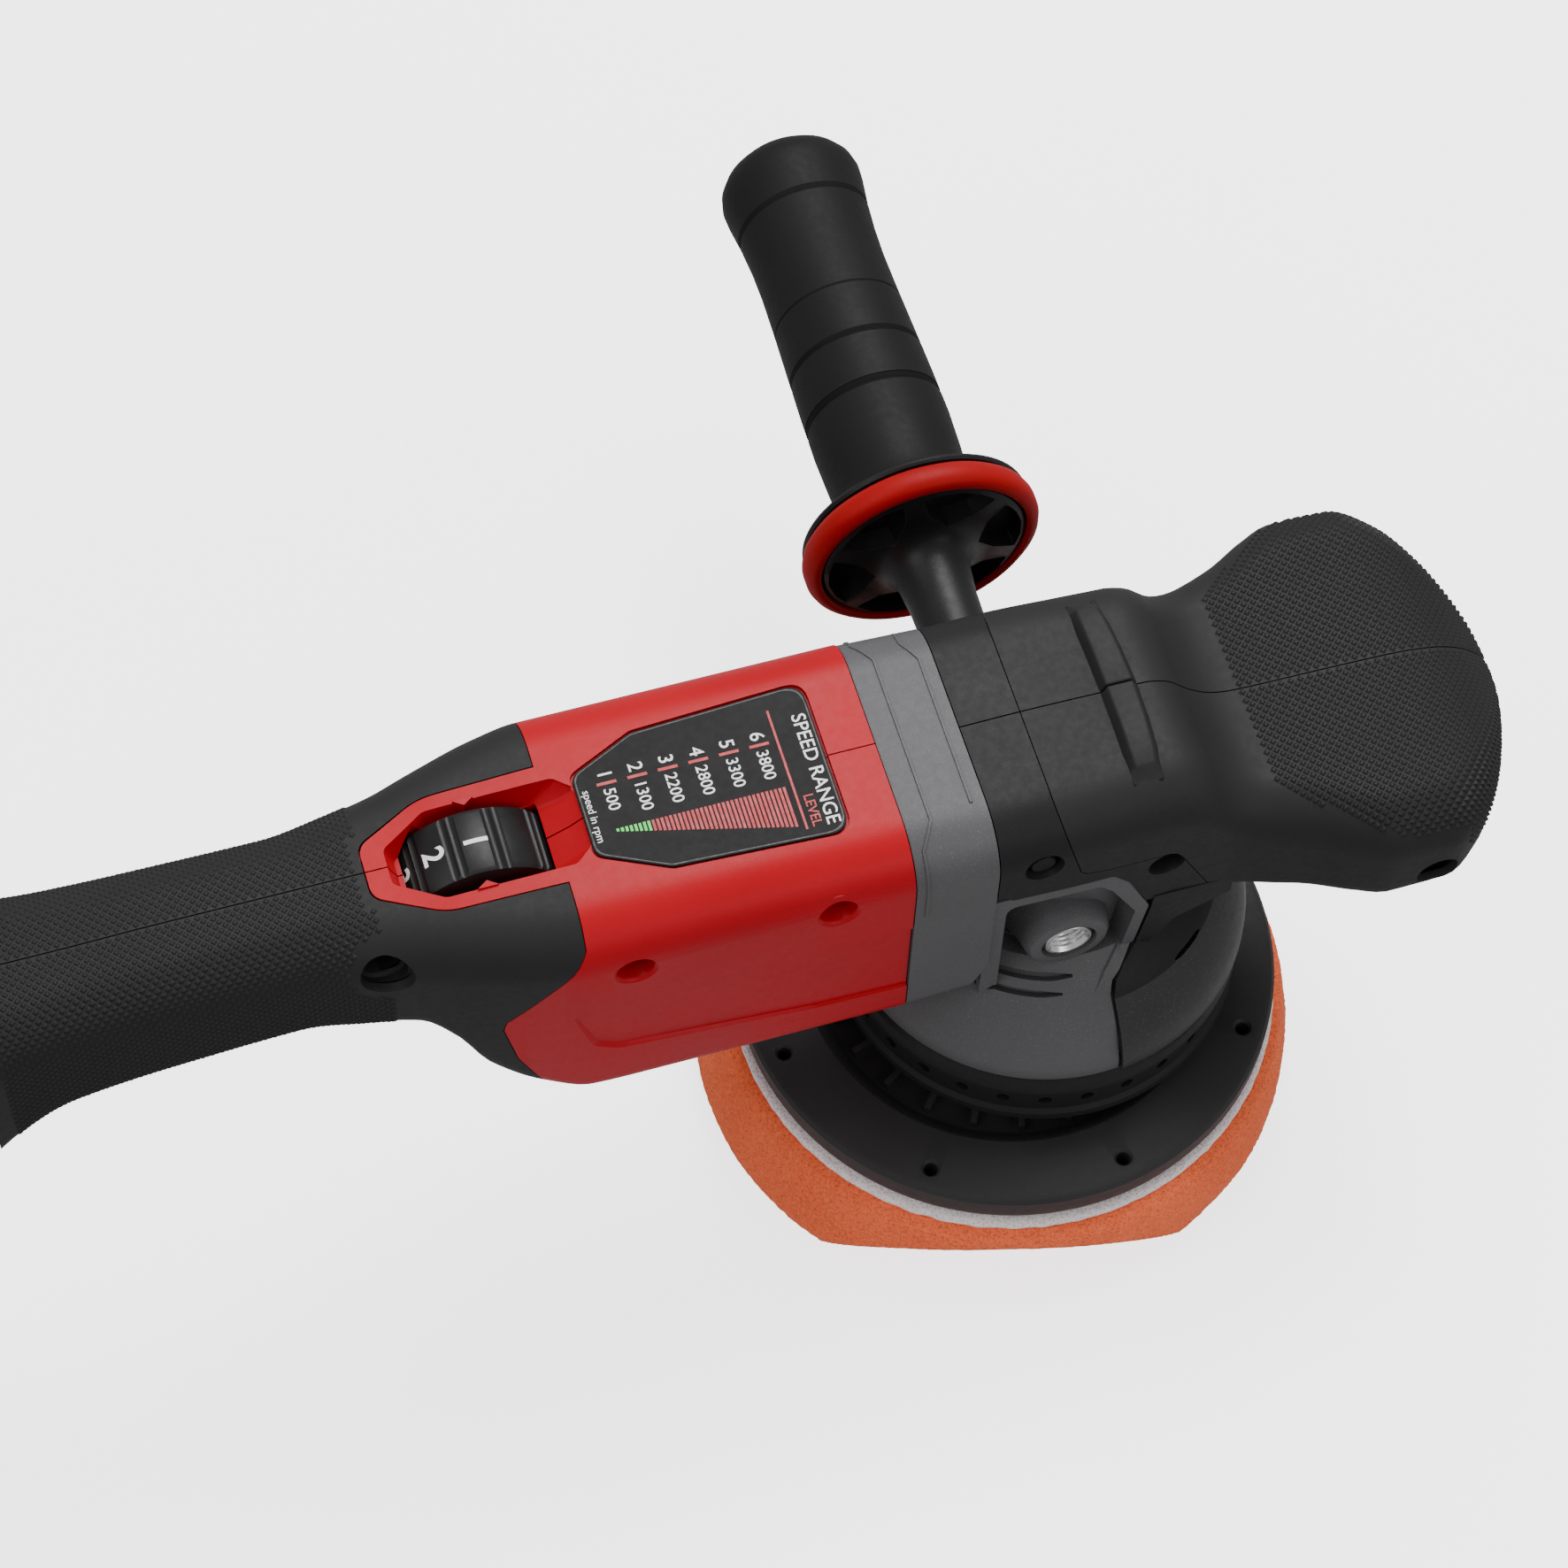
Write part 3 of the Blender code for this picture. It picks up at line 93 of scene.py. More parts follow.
HEAD = [
    (-23.7, 30.5, 108.0, 150.0, 3.0, 12.5), (-10.0, 30.5, 108.0, 150.2, 3.0, 12.5),
    (8.0, 30.0, 107.0, 149.8, 3.0, 12.5), (17.0, 29.7, 105.6, 149.6, 4.0, 12.5),
    (22.0, 29.8, 105.0, 147.8, 4.0, 12.5), (28.0, 30.0, 104.0, 141.6, 5.0, 12.5),
    (33.0, 31.0, 104.0, 138.0, 6.0, 12.0), (38.0, 32.6, 104.0, 136.6, 6.0, 12.0),
    (46.0, 35.6, 104.0, 136.2, 7.0, 12.0), (55.0, 40.4, 104.4, 136.0, 8.0, 12.0),
    (62.0, 43.0, 104.8, 135.8, 8.0, 12.0), (75.0, 42.8, 104.8, 135.2, 8.0, 12.0),
    (84.0, 37.4, 106.5, 133.6, 8.0, 12.0), (90.0, 29.4, 108.5, 130.8, 8.0, 11.0),
    (95.0, 19.0, 110.0, 126.4, 7.0, 8.0), (97.6, 11.0, 111.8, 122.8, 5.0, 5.0),
    (99.0, 3.4, 114.6, 119.6, 2.4, 2.4),
]
COLLAR = [(-42.0, 30.5, 85.4, 151.4, 6.6, 12.5), (-24.0, 30.5, 87.0, 150.2, 6.0, 12.5)]

# Edges in side view, as (x, z), and turned profiles, as (radius, z)
GRIP_EDGE = [(-111, 165), (-112, 147), (-114, 143.6), (-129.2, 122.4), (-129.9, 119), (-127.4, 106),
             (-120.6, 90.4), (-120, 88), (-120, 70)]
BOOT_EDGE = [(-10.2, 165), (-10.6, 150), (-5.6, 131.2), (-4.2, 129.8), (1.2, 128.6), (14.8, 127.6),
             (16.4, 126.8), (17.8, 125.0), (28, 103.7), (30, 96)]
SKIRT_EDGE = [(12.4, 105.4), (10.4, 90.5), (4.1, 85.9), (3.2, 83.5), (4.1, 65), (4.4, 50)]
SKIRT = [(46.4, 62.6), (46.8, 64), (46.7, 67.6), (45.8, 71.6), (44.0, 76), (41.4, 80), (38.9, 83.2),
         (36.6, 85.8), (33.8, 87.8), (32.0, 90.2), (31.3, 95), (31.0, 102), (31.0, 112.0)]
DOME = [(44.4, 60.8), (45.5, 62), (45.8, 64), (45.6, 67), (44.6, 70), (42.4, 76.6), (41.0, 79),
        (38.2, 82.6), (34.5, 87.3), (30.6, 90.4), (26.7, 91.3)]


# ---------------------------------------------------------------- materials

class Nodes:
    """A small helper that adds shader nodes to one material."""

    def __init__(self, name):
        self.material = bpy.data.materials.new(name)
        self.material.use_nodes = True
        self.tree = self.material.node_tree
        self.shader = self.tree.nodes["Principled BSDF"]
        self.place = self.tree.nodes.new("ShaderNodeTexCoord").outputs["Object"]

    def link(self, source, target):
        self.tree.links.new(source, target)

    def noise(self, size, detail=3.0, rough=0.55, stretch=None):
        """A noise whose grains are about this many millimetres wide."""
        node = self.tree.nodes.new("ShaderNodeTexNoise")
        node.inputs["Scale"].default_value = 1 / (size * MM)
        node.inputs["Detail"].default_value = detail
        node.inputs["Roughness"].default_value = rough
        place = self.place
        if stretch:
            mapping = self.tree.nodes.new("ShaderNodeMapping")
            mapping.inputs["Scale"].default_value = stretch
            self.link(place, mapping.inputs["Vector"])
            place = mapping.outputs["Vector"]
        self.link(place, node.inputs["Vector"])
        return node.outputs["Fac"]

    def cells(self, size):
        node = self.tree.nodes.new("ShaderNodeTexVoronoi")
        node.inputs["Scale"].default_value = 1 / (size * MM)
        self.link(self.place, node.inputs["Vector"])
        return node.outputs["Distance"]

    def ramp(self, value, *stops):
        """Maps a value to colours or greys: stops of (position, colour or grey)."""
        node = self.tree.nodes.new("ShaderNodeValToRGB")
        for element, (position, shade) in zip(node.color_ramp.elements, stops):
            element.position = position
            element.color = (*shade, 1) if isinstance(shade, tuple) else (shade, shade, shade, 1)
        self.link(value, node.inputs["Fac"])
        return node.outputs["Color"]

    def maths(self, operation, first, second):
        node = self.tree.nodes.new("ShaderNodeMath")
        node.operation = operation
        for socket, value in zip(node.inputs, (first, second)):
            if isinstance(value, (int, float)):
                socket.default_value = value
            else:
                self.link(value, socket)
        return node.outputs["Value"]

    def mix(self, factor, first, second):
        """Mixes two colours; the second is constant."""
        node = self.tree.nodes.new("ShaderNodeMix")
        node.data_type = "RGBA"
        below, above = [s for s in node.inputs if s.type == "RGBA"]
        self.link(factor, node.inputs["Factor"])
        self.link(first, below)
        above.default_value = (*second, 1)
        return [s for s in node.outputs if s.type == "RGBA"][0]

    def surface(self, colour, roughness, height=None, strength=1.0, distance=0.1):
        """Connects a colour, a roughness and the bump of a height to the shader."""
        self.link(colour, self.shader.inputs["Base Color"])
        self.link(roughness, self.shader.inputs["Roughness"])
        if height is None:
            return
        node = self.tree.nodes.new("ShaderNodeBump")
        node.inputs["Strength"].default_value = strength
        node.inputs["Distance"].default_value = distance * MM
        self.link(height, node.inputs["Height"])
        self.link(node.outputs["Normal"], self.shader.inputs["Normal"])


def scaled(colour, share, lift=0.0):
    return tuple(min(1.0, c * share + lift) for c in colour)


def moulded(name, colour, low, high, grain, bump, glint_speckle=0.0, mottle=0.12, gloss=0.22):
    """Moulded plastic, rubber or cast paint: fine grain, slow mottling, light flecks painted on as glints of the
    grain, and a roughness that wanders.
    """
    n = Nodes(name)
    slow = n.noise(34, 2)
    shade = n.ramp(slow, (0.30, scaled(colour, 1 - mottle)), (0.70, scaled(colour, 1 + mottle)))
    # Painted highlight: light flecks in the colour stand in for glints on the grain.
    if glint_speckle:
        glint_flecks = n.ramp(n.noise(grain * 0.8, 1, 0.5), (0.60, 0.0), (0.72, glint_speckle))
        shade = n.mix(glint_flecks, shade, scaled(colour, 2.1, 0.014))
    dust = n.ramp(n.noise(2.6, 4, 0.7), (0.35, 0.0), (0.85, 0.10))
    shade = n.mix(dust, shade, scaled(colour, 1.25, 0.004))
    wander = n.maths("MULTIPLY", n.maths("ADD", slow, n.noise(1.7, 3)), 0.5)
    n.surface(shade, n.ramp(wander, (0.30, low), (0.70, high)), n.noise(grain, 2, 0.6), bump, 0.06)
    n.shader.inputs["Specular IOR Level"].default_value = gloss
    return n.material


def print_ink(name, colour, glow=0.0):
    n = Nodes(name)
    wear = n.ramp(n.noise(0.5, 3), (0.25, scaled(colour, 0.82)), (0.6, colour))
    n.surface(wear, n.ramp(n.noise(1.2, 2), (0.3, 0.42), (0.7, 0.58)))
    # A glow is painted light: the ink shines by itself.
    if glow:
        n.link(wear, n.shader.inputs["Emission Color"])
        n.shader.inputs["Emission Strength"].default_value = glow
    return n.material


def foam_paint():
    """Open cell foam: dense pores with painted shade in them, cell walls lightened with a painted highlight, and
    a slow tone across the pad.
    """
    n = Nodes("open_cell_foam")
    base = n.ramp(n.noise(22, 2), (0.3, (0.86, 0.128, 0.045)), (0.7, (0.96, 0.165, 0.062)))
    pores = n.ramp(n.cells(1.15), (0.0, 0.0), (0.42, 1.0))
    small = n.ramp(n.cells(0.50), (0.0, 0.1), (0.40, 1.0))
    depth = n.maths("MULTIPLY", pores, small)
    # Painted shade: the colour darkens in the pores, where shade falls into them.
    shade = n.mix(n.ramp(depth, (0.0, 0.80), (0.50, 0.0)), base, (0.42, 0.036, 0.006))
    # Painted highlight: light flecks on the cell walls, where light catches them.
    light = n.ramp(n.noise(0.9, 4, 0.7), (0.54, 0.0), (0.76, 0.60))
    shade = n.mix(light, shade, (1.0, 0.34, 0.130))
    n.surface(shade, n.ramp(n.noise(3, 2), (0.3, 0.86), (0.7, 0.98)), depth, 0.9, 0.35)
    n.shader.inputs["Sheen Weight"].default_value = 0.10
    n.shader.inputs["Specular IOR Level"].default_value = 0.15
    n.shader.inputs["Sheen Roughness"].default_value = 0.6
    n.shader.inputs["Sheen Tint"].default_value = (1.0, 0.55, 0.35, 1.0)
    return n.material


def cloth_paint():
    """Short looped threads with painted shade in the darker gaps between them."""
    n = Nodes("loop_fabric")
    threads = n.maths("MULTIPLY", n.noise(0.5, 3, 0.7), n.cells(0.7))
    # Painted shade: the colour darkens in the gaps between the threads.
    n.surface(n.ramp(threads, (0.05, (0.56, 0.44, 0.45)), (0.3, (0.86, 0.78, 0.79))),
              n.ramp(n.noise(2, 2), (0.3, 0.85), (0.7, 1.0)), threads, 0.8, 0.3)
    n.shader.inputs["Sheen Weight"].default_value = 0.5
    return n.material


def metal_paint(name, colour, low, high, stretch=(1, 1, 1), grain=0.5, bump=0.15):
    """Machined or cast metal with tool marks along one direction and slightly stained hollows."""
    n = Nodes(name)
    marks = n.noise(grain, 4, 0.65, stretch)
    shade = n.ramp(n.noise(6, 4, 0.6), (0.3, scaled(colour, 0.72)), (0.6, colour))
    shade = n.mix(n.ramp(marks, (0.4, 0.0), (0.8, 0.35)), shade, scaled(colour, 1.35))
    n.surface(shade, n.ramp(marks, (0.3, low), (0.7, high)), marks, bump, 0.05)
    n.shader.inputs["Metallic"].default_value = 1.0
    return n.material


# The seventh number is the share of light flecks painted in as glints.
RED = moulded("red_moulding", (0.370, 0.001, 0.008), 0.33, 0.47, 0.42, 0.30, mottle=0.06, gloss=0.14)
RED_SOFT = moulded("red_soft_rubber", (0.300, 0.0018, 0.0036), 0.46, 0.62, 0.8, 0.35, gloss=0.12)
GREY = moulded("grey_casting", (0.074, 0.072, 0.076), 0.40, 0.56, 0.46, 0.55, 0.30, 0.10)
DARK_GREY = moulded("dark_grey_casting", (0.030, 0.030, 0.0315), 0.38, 0.55, 0.46, 0.55, 0.26)
HARD_BLACK = moulded("hard_black_moulding", (0.010, 0.0098, 0.0106), 0.44, 0.60, 0.40, 0.45, 0.14, gloss=0.16)
GRAINED_BLACK = moulded("grained_black_moulding", (0.024, 0.0236, 0.025), 0.36, 0.52, 0.55, 0.9, 0.55)
PLATE_BLACK = moulded("plate_black", (0.023, 0.0222, 0.0236), 0.42, 0.58, 0.7, 0.25)
DARK_BLACK = moulded("handle_black", (0.0085, 0.0085, 0.0092), 0.32, 0.48, 0.42, 0.40, 0.10)
RUBBER = moulded("soft_black_rubber", (0.0125, 0.0122, 0.013), 0.54, 0.70, 0.30, 0.30, mottle=0.10)
WHEEL_RUBBER = moulded("wheel_black", (0.008, 0.008, 0.0088), 0.32, 0.48, 0.35, 0.25)
# A darker copy of the soft black rubber for the handle: partly its own tone, partly painted shade for the way
# the handle faces the light.
SHADED_HANDLE_RUBBER = moulded("shaded_handle_rubber", (0.007, 0.0068, 0.0074), 0.50, 0.66, 0.34, 0.30, gloss=0.14)
FILM = moulded("label_film_black", (0.009, 0.009, 0.009), 0.50, 0.64, 0.34, 0.45, 0.16, gloss=0.14)
BOARD = moulded("circuit_board", (0.018, 0.150, 0.055), 0.32, 0.50, 1.3, 0.3, 0.2)
CELL = moulded("cell_sleeve", (0.045, 0.150, 0.420), 0.30, 0.44, 0.8, 0.12)
FOAM = foam_paint()
LOOP = cloth_paint()
WHITE_INK = print_ink("white_ink", (0.86, 0.86, 0.86))
RED_INK = print_ink("red_ink", (0.46, 0.006, 0.012))
# Painted light: the green ink glows a little by itself, on the label's bars as on the gauge lamps.
GLOWING_GREEN_INK = print_ink("glowing_green_ink", (0.05, 0.66, 0.07), 0.20)
EDGE_INK = print_ink("edge_ink", (0.022, 0.022, 0.024))
BRIGHT_STEEL = metal_paint("bright_steel", (0.66, 0.66, 0.67), 0.18, 0.36, (1, 6, 1))
GROUND_STEEL = metal_paint("ground_steel", (0.50, 0.50, 0.51), 0.26, 0.44, (1, 1, 6))
BLACK_OXIDE = metal_paint("black_oxide_steel", (0.012, 0.012, 0.013), 0.40, 0.58, (1, 1, 4))
LAMINATED = metal_paint("laminated_steel", (0.20, 0.20, 0.22), 0.34, 0.52, (9, 1, 1))
GEAR_STEEL = metal_paint("gear_steel", (0.26, 0.25, 0.25), 0.30, 0.46)
CAST_ZINC = metal_paint("cast_zinc", (0.42, 0.42, 0.43), 0.38, 0.58, grain=0.9, bump=0.35)
COPPER_WIRE = metal_paint("enamelled_copper", (0.68, 0.26, 0.10), 0.22, 0.42, (1, 1, 5), 0.6, 0.5)


# ---------------------------------------------------------------- mesh helpers

SCENE = bpy.context.scene.collection
TOOL = "cutting_tool"


def verts(bm, points):
    """New vertices at points given in millimetres."""
    return [bm.verts.new(Vector(p) * MM) for p in points]


def make(bm, name=TOOL, paint=None):
    bmesh.ops.recalc_face_normals(bm, faces=bm.faces)
    mesh = bpy.data.meshes.new(name)
    bm.to_mesh(mesh)
    bm.free()
    obj = bpy.data.objects.new(name, mesh)
    SCENE.objects.link(obj)
    if paint is not None:
        mesh.materials.append(paint)
    return obj


def bridge(bm, rings, closed=False):
    """Join rings of equal count, and either cap the ends or join the last ring to the first."""
    count = len(rings[0])
    for low, high in zip(rings, rings[1:] + rings[:1] if closed else rings[1:]):
        for i in range(count):
            j = (i + 1) % count
            bm.faces.new((low[i], low[j], high[j], high[i]))
    if not closed:
        bm.faces.new(list(reversed(rings[0])))
        bm.faces.new(rings[-1])


def mirrored(half):
    """A whole outline from the half of it with positive second values."""
    return half + [(x, -y) for x, y in reversed(half)]


def rounded(outline, radius, steps=5):
    """The outline with its corners turned into arcs; radius may be one number or one for each corner."""
    points = []
    count = len(outline)
    for i in range(count):
        here = Vector(outline[i])
        before, after = Vector(outline[i - 1]) - here, Vector(outline[(i + 1) % count]) - here
        size = radius[i] if isinstance(radius, (list, tuple)) else radius
        angle = before.angle(after)
        if size <= 0 or angle > math.radians(176):
            points.append(tuple(here))
            continue
        reach = min(size / math.tan(angle / 2), before.length * 0.45, after.length * 0.45)
        first, last = here + before.normalized() * reach, here + after.normalized() * reach
        for k in range(steps + 1):
            t = k / steps
            points.append(tuple(first * (1 - t) ** 2 + here * 2 * t * (1 - t) + last * t * t))
    return points


def prism(outline, across, levels, name=TOOL, paint=None):
    """Extrude an outline along an axis; levels holds heights or (height, growth of the outline) pairs."""
    bm = bmesh.new()
    middle = Vector([sum(c) / len(outline) for c in zip(*outline)])
    offsets = [Vector(point) - middle for point in outline]
    rings = []
    for level in levels:
        height, grow = level if isinstance(level, tuple) else (level, 0.0)
        flat = [middle + offset * (1 + grow / max(offset.length, 1e-6)) for offset in offsets]
        rings.append(verts(bm, [{"X": (height, u, v), "Y": (u, height, v), "Z": (u, v, height)}[across]
                                for u, v in flat]))
    bridge(bm, rings)
    return make(bm, name, paint)


def spot(axis, centre, u, v, along):
    """A point at (u, v) from an axis, and along it. For X the plane is (y, z), for Y (x, z), for Z (x, y)."""
    u, v = centre[0] + u, centre[1] + v
    return Vector({"X": (along, u, v), "Y": (u, along, v), "Z": (u, v, along)}[axis]) * MM


def turned(axis, centre, profile, name=TOOL, paint=None, steps=96, ring=False, wobble=None):
    """Turn a (radius, along) profile about an axis: a solid from radius 0 to radius 0, or a closed ring."""
    bm = bmesh.new()
    rings = []
    poles = {}
    for k in range(steps):
        angle = 2 * math.pi * k / steps
        loop = []
        for i, (radius, along) in enumerate(profile):
            if radius <= 1e-6:
                if i not in poles:
                    poles[i] = bm.verts.new(spot(axis, centre, 0, 0, along))
                loop.append(poles[i])
                continue
            out, up = wobble(angle, radius, along) if wobble else (0.0, 0.0)
            r = radius + out
            place = spot(axis, centre, r * math.cos(angle), r * math.sin(angle), along + up)
            loop.append(bm.verts.new(place))
        rings.append(loop)
    last = len(profile) if ring else len(profile) - 1
    for k in range(steps):
        a, b = rings[k], rings[(k + 1) % steps]
        for i in range(last):
            j = (i + 1) % len(profile)
            corners = []
            for vert in (a[i], a[j], b[j], b[i]):
                if vert not in corners:
                    corners.append(vert)
            if len(corners) > 2:
                bm.faces.new(corners)
    return make(bm, name, paint)


def rod(axis, centre, span, radius, steps=32):
    low, high = span
    return turned(axis, centre, [(0, high), (radius, high), (radius, low), (0, low)], steps=steps)


def block(x, y, z, name=TOOL, paint=None):
    return prism([(x[0], y[0]), (x[1], y[0]), (x[1], y[1]), (x[0], y[1])], "Z", z, name, paint)


def boolean(target, others, operation):
    for other in others:
        modifier = target.modifiers.new(operation.lower(), "BOOLEAN")
        modifier.operation = operation
        modifier.object = other
        modifier.solver = "MANIFOLD"
    return target


def cut(target, *others):
    return boolean(target, others, "DIFFERENCE")


def join(target, *others):
    return boolean(target, others, "UNION")


def keep(target, *others):
    return boolean(target, others, "INTERSECT")


def soften(obj, width, segments=2, angle=38):
    modifier = obj.modifiers.new("edge", "BEVEL")
    modifier.width = width * MM
    modifier.segments = segments
    modifier.limit_method = "ANGLE"
    modifier.angle_limit = math.radians(angle)
    return obj


def smooth(obj, angle=30):
    """Shade smooth but for edges sharper than an angle."""
    obj.data.shade_smooth()
    obj.data.set_sharp_from_angle(angle=math.radians(angle))
    return obj


def settle(obj):
    """Apply the modifiers, merge slivers and shade smooth but for sharp edges."""
    bpy.context.view_layer.update()
    mesh = bpy.data.meshes.new_from_object(obj.evaluated_get(bpy.context.evaluated_depsgraph_get()))
    obj.modifiers.clear()
    bm = bmesh.new()
    bm.from_mesh(mesh)
    bmesh.ops.remove_doubles(bm, verts=bm.verts, dist=0.012 * MM)
    bmesh.ops.dissolve_degenerate(bm, edges=bm.edges, dist=0.004 * MM)
    bm.to_mesh(mesh)
    bm.free()
    obj.data = mesh
    smooth(obj)


def repaint(obj, paint, chosen):
    """Give another material to the faces whose middle, in millimetres, is chosen."""
    obj.data.materials.append(paint)
    for face in obj.data.polygons:
        if chosen(face.center / MM):
            face.material_index = len(obj.data.materials) - 1


def show(obj, body, slot, *nodes):
    """Put a finished piece on its body and hide the CAD nodes that it stands for; its slot is not used."""
    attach(obj, body)
    if nodes:
        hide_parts(*nodes)


def finish(obj, body, slot, node, edge=0.0, segments=2, angle=42, patch=None):
    """Settle a cut piece, repaint a patch of it, round its edges and show it."""
    settle(obj)
    if patch:
        repaint(obj, *patch)
    if edge:
        soften(obj, edge, segments, angle)
    show(obj, body, slot, node)


def tag(side):
    return "left" if side == LEFT else "right"


def span_of(side, near, far):
    return tuple(sorted((side * near, side * far)))


def along_side(side, profile):
    """A (radius, along) profile that runs out to one side."""
    return [(radius, side * along) for radius, along in profile]


def side_prism(side, outline, levels):
    """A prism along Y with (distance from the middle, growth) levels on one side."""
    placed = [(side * near, grow) for near, grow in levels]
    return prism(outline, "Y", placed if side == LEFT else placed[::-1])


# ---------------------------------------------------------------- lofted forms

def steady_slopes(x, y):
    """Slopes for a cubic through the points that never overshoots."""
    step = np.diff(x)
    rise = np.diff(y) / step
    slope = np.zeros(len(x))
    slope[0], slope[-1] = rise[0], rise[-1]
    for i in range(1, len(x) - 1):
        if rise[i - 1] * rise[i] > 0:
            first, second = 2 * step[i] + step[i - 1], step[i] + 2 * step[i - 1]
            slope[i] = (first + second) / (first / rise[i - 1] + second / rise[i])
    return slope


class Form:
    """A rounded casing along X: half width, bottom, top and corner radii at any x."""

    def __init__(self, stations):
        table = np.array(sorted(stations), float)
        self.x, self.rows = table[:, 0], table[:, 1:]
        self.slopes = np.array([steady_slopes(self.x, column) for column in self.rows.T]).T

    def at(self, x):
        x = min(max(x, self.x[0]), self.x[-1])
        i = min(int(np.searchsorted(self.x, x, side="right")) - 1, len(self.x) - 2)
        step = self.x[i + 1] - self.x[i]
        t = (x - self.x[i]) / step
        a, b = self.rows[i], self.rows[i + 1]
        c, d = self.slopes[i] * step, self.slopes[i + 1] * step
        first_half = a * (1 + 2 * t) * (1 - t) ** 2 + c * t * (1 - t) ** 2
        return first_half + b * t * t * (3 - 2 * t) + d * t * t * (t - 1)

    def half(self, x, inset=0.0, fine=9):
        """Points (y, z) of the +Y side from the bottom up."""
        half, bottom, top, low, high = self.at(x)
        half, bottom, top = half - inset, bottom + inset, top - inset
        low, high = max(low - inset, 0.6), max(high - inset, 0.6)
        points = []
        for radius, y, z, start in ((low, half - low, bottom + low, -90), (high, half - high, top - high, 0)):
            for k in range(fine + 1):
                a = math.radians(start + 90 * k / fine)
                points.append((y + radius * math.cos(a), z + radius * math.sin(a)))
        return points

    def solid(self, xs, inset=0.0, side=0, name=TOOL, paint=None, fine=9):
        """The whole casing between stations at xs, or one side of it from the seam out."""
        bm = bmesh.new()
        rings = []
        for x in xs:
            half = self.half(x, inset, fine)
            if side:
                points = [(SEAM, half[0][1])] + half + [(SEAM, half[-1][1])]
                points = [(side * y, z) for y, z in points]
            else:
                points = half + [(-y, z) for y, z in reversed(half)]
            rings.append(verts(bm, [(x, y, z) for y, z in points]))
        bridge(bm, rings)
        return make(bm, name, paint)

    def point(self, x, along):
        """The point at x, at a signed distance round the section from the middle of its top."""
        side = 1 if along >= 0 else -1
        half = self.half(x, 0.0, 14)
        points = [(0.0, half[-1][1])] + half[::-1]
        travelled = 0.0
        for first, second in zip(points, points[1:]):
            length = math.dist(first, second)
            if travelled + length >= abs(along) or second is points[-1]:
                t = min(max((abs(along) - travelled) / max(length, 1e-9), 0.0), 1.0)
                y = first[0] + (second[0] - first[0]) * t
                z = first[1] + (second[1] - first[1]) * t
                return Vector((x, side * y, z))
            travelled += length


def steps_between(first, last, step):
    count = max(int(round(abs(last - first) / step)), 1)
    return [first + (last - first) * k / count for k in range(count + 1)]


BODY_FORM, HEAD_FORM, COLLAR_FORM = Form(BODY), Form(HEAD), Form(COLLAR)
BODY_XS = [-42.3, -60, -80, -100] + steps_between(-104, -258, 2.2)
HEAD_XS = steps_between(-23.7, 90, 1.9) + [91.5, 93, 94.4, 95.6, 96.6, 97.4, 98.0, 98.5, 98.8, 99.0]


def under_region(edge, form, xs, *spared):
    """The part of a casing that an overmould takes: outside the inset surface and past its edge."""
    return cut(prism(edge, "Y", [-70, 70]), form.solid(xs, UNDER_SKIN), *spared)


# ---------------------------------------------------------------- red body and grip skin

def spine_outline(grow=0.0):
    """The red tongue that runs back into the grip round the speed wheel, seen from above."""
    half = [(-96, 15.2 + grow), (-112, 13.9 + grow), (-137, 13.4 + grow), (-151 - grow, 6 + grow)]
    return rounded(mirrored(half), [0, 6, 14, 4, 4, 14, 6, 0], 6)


def label_outline(grow=0.0):
    half = [(-53.0 + grow, 18.2 + grow), (-90.5, 16.4 + grow), (-105.0 - grow, 9.6 + grow * 0.6)]
    return rounded(mirrored(half), [4.2, 4, 3.2, 3.2, 4, 4.2], 6)


def wheel_pocket():
    """The sloping hexagonal pocket round the speed wheel."""
    mouth = rounded(mirrored([(-104.6, 6.6), (-109.0, 10.4), (-136.5, 10.4), (-146.5, 4.2)]),
                    [1.5, 2.5, 3, 2, 2, 3, 2.5, 1.5])
    floor = rounded(mirrored([(-113.4, 7.4), (-114.6, 8.8), (-136.0, 8.8), (-144.4, 3.6)]),
                    [1.0, 1.6, 2.4, 1.6, 1.6, 2.4, 1.6, 1.0])
    bm = bmesh.new()
    rings = []
    for share, height in ((0.0, 146.0), (0.62, 149.0), (1.0, 151.6), (1.03, 154.0)):
        rings.append(verts(bm, [(a[0] + (b[0] - a[0]) * share, a[1] + (b[1] - a[1]) * share, height)
                                for a, b in zip(floor, mouth)]))
    bridge(bm, rings)
    return make(bm)


def side_panel(side):
    """The shallow recess low on the red side."""
    outline = rounded([(-116.0, 122.5), (-113.4, 125.6), (-38, 125.2), (-38, 98.6), (-62, 99.4),
                       (-106, 104.6), (-111.5, 108.4)], [1.5, 2, 0, 0, 6, 6, 4])
    floor = BODY_WALL - 0.75
    return side_prism(side, outline, [(floor, -1.1), (floor + 0.4, -0.5), (floor + 0.8, 0.2), (40, 0.4)])


def screw_seat(shell, side, place, wall):
    """The counterbored boss of a long screw, with a rounded mouth on the right."""
    join(shell, rod("Y", place, span_of(side, SEAM, wall - 1.4), 5.3 if side == RIGHT else 4.2))
    if side == RIGHT:
        mouth = [(0, 10), (3.9, 10), (3.9, wall - 0.9), (4.15, wall - 0.45), (4.75, wall - 0.06),
                 (5.0, wall + 12), (0, wall + 12)]
        cut(shell, turned("Y", place, along_side(side, mouth), steps=40), rod("Y", place, (-11, 1), 1.95, 20))
    else:
        cut(shell, rod("Y", place, (-1, 14), 1.95, 20))


def near_grip_screw(middle):
    """Whether a face of the red body shows through the grip's screw hole, where it is painted black as painted
    shade.
    """
    away = math.hypot(middle.x - GRIP_SCREW[0], middle.z - GRIP_SCREW[1])
    return middle.y < (0 if away < 7.5 else -9) and middle.z < 148 and away < 12


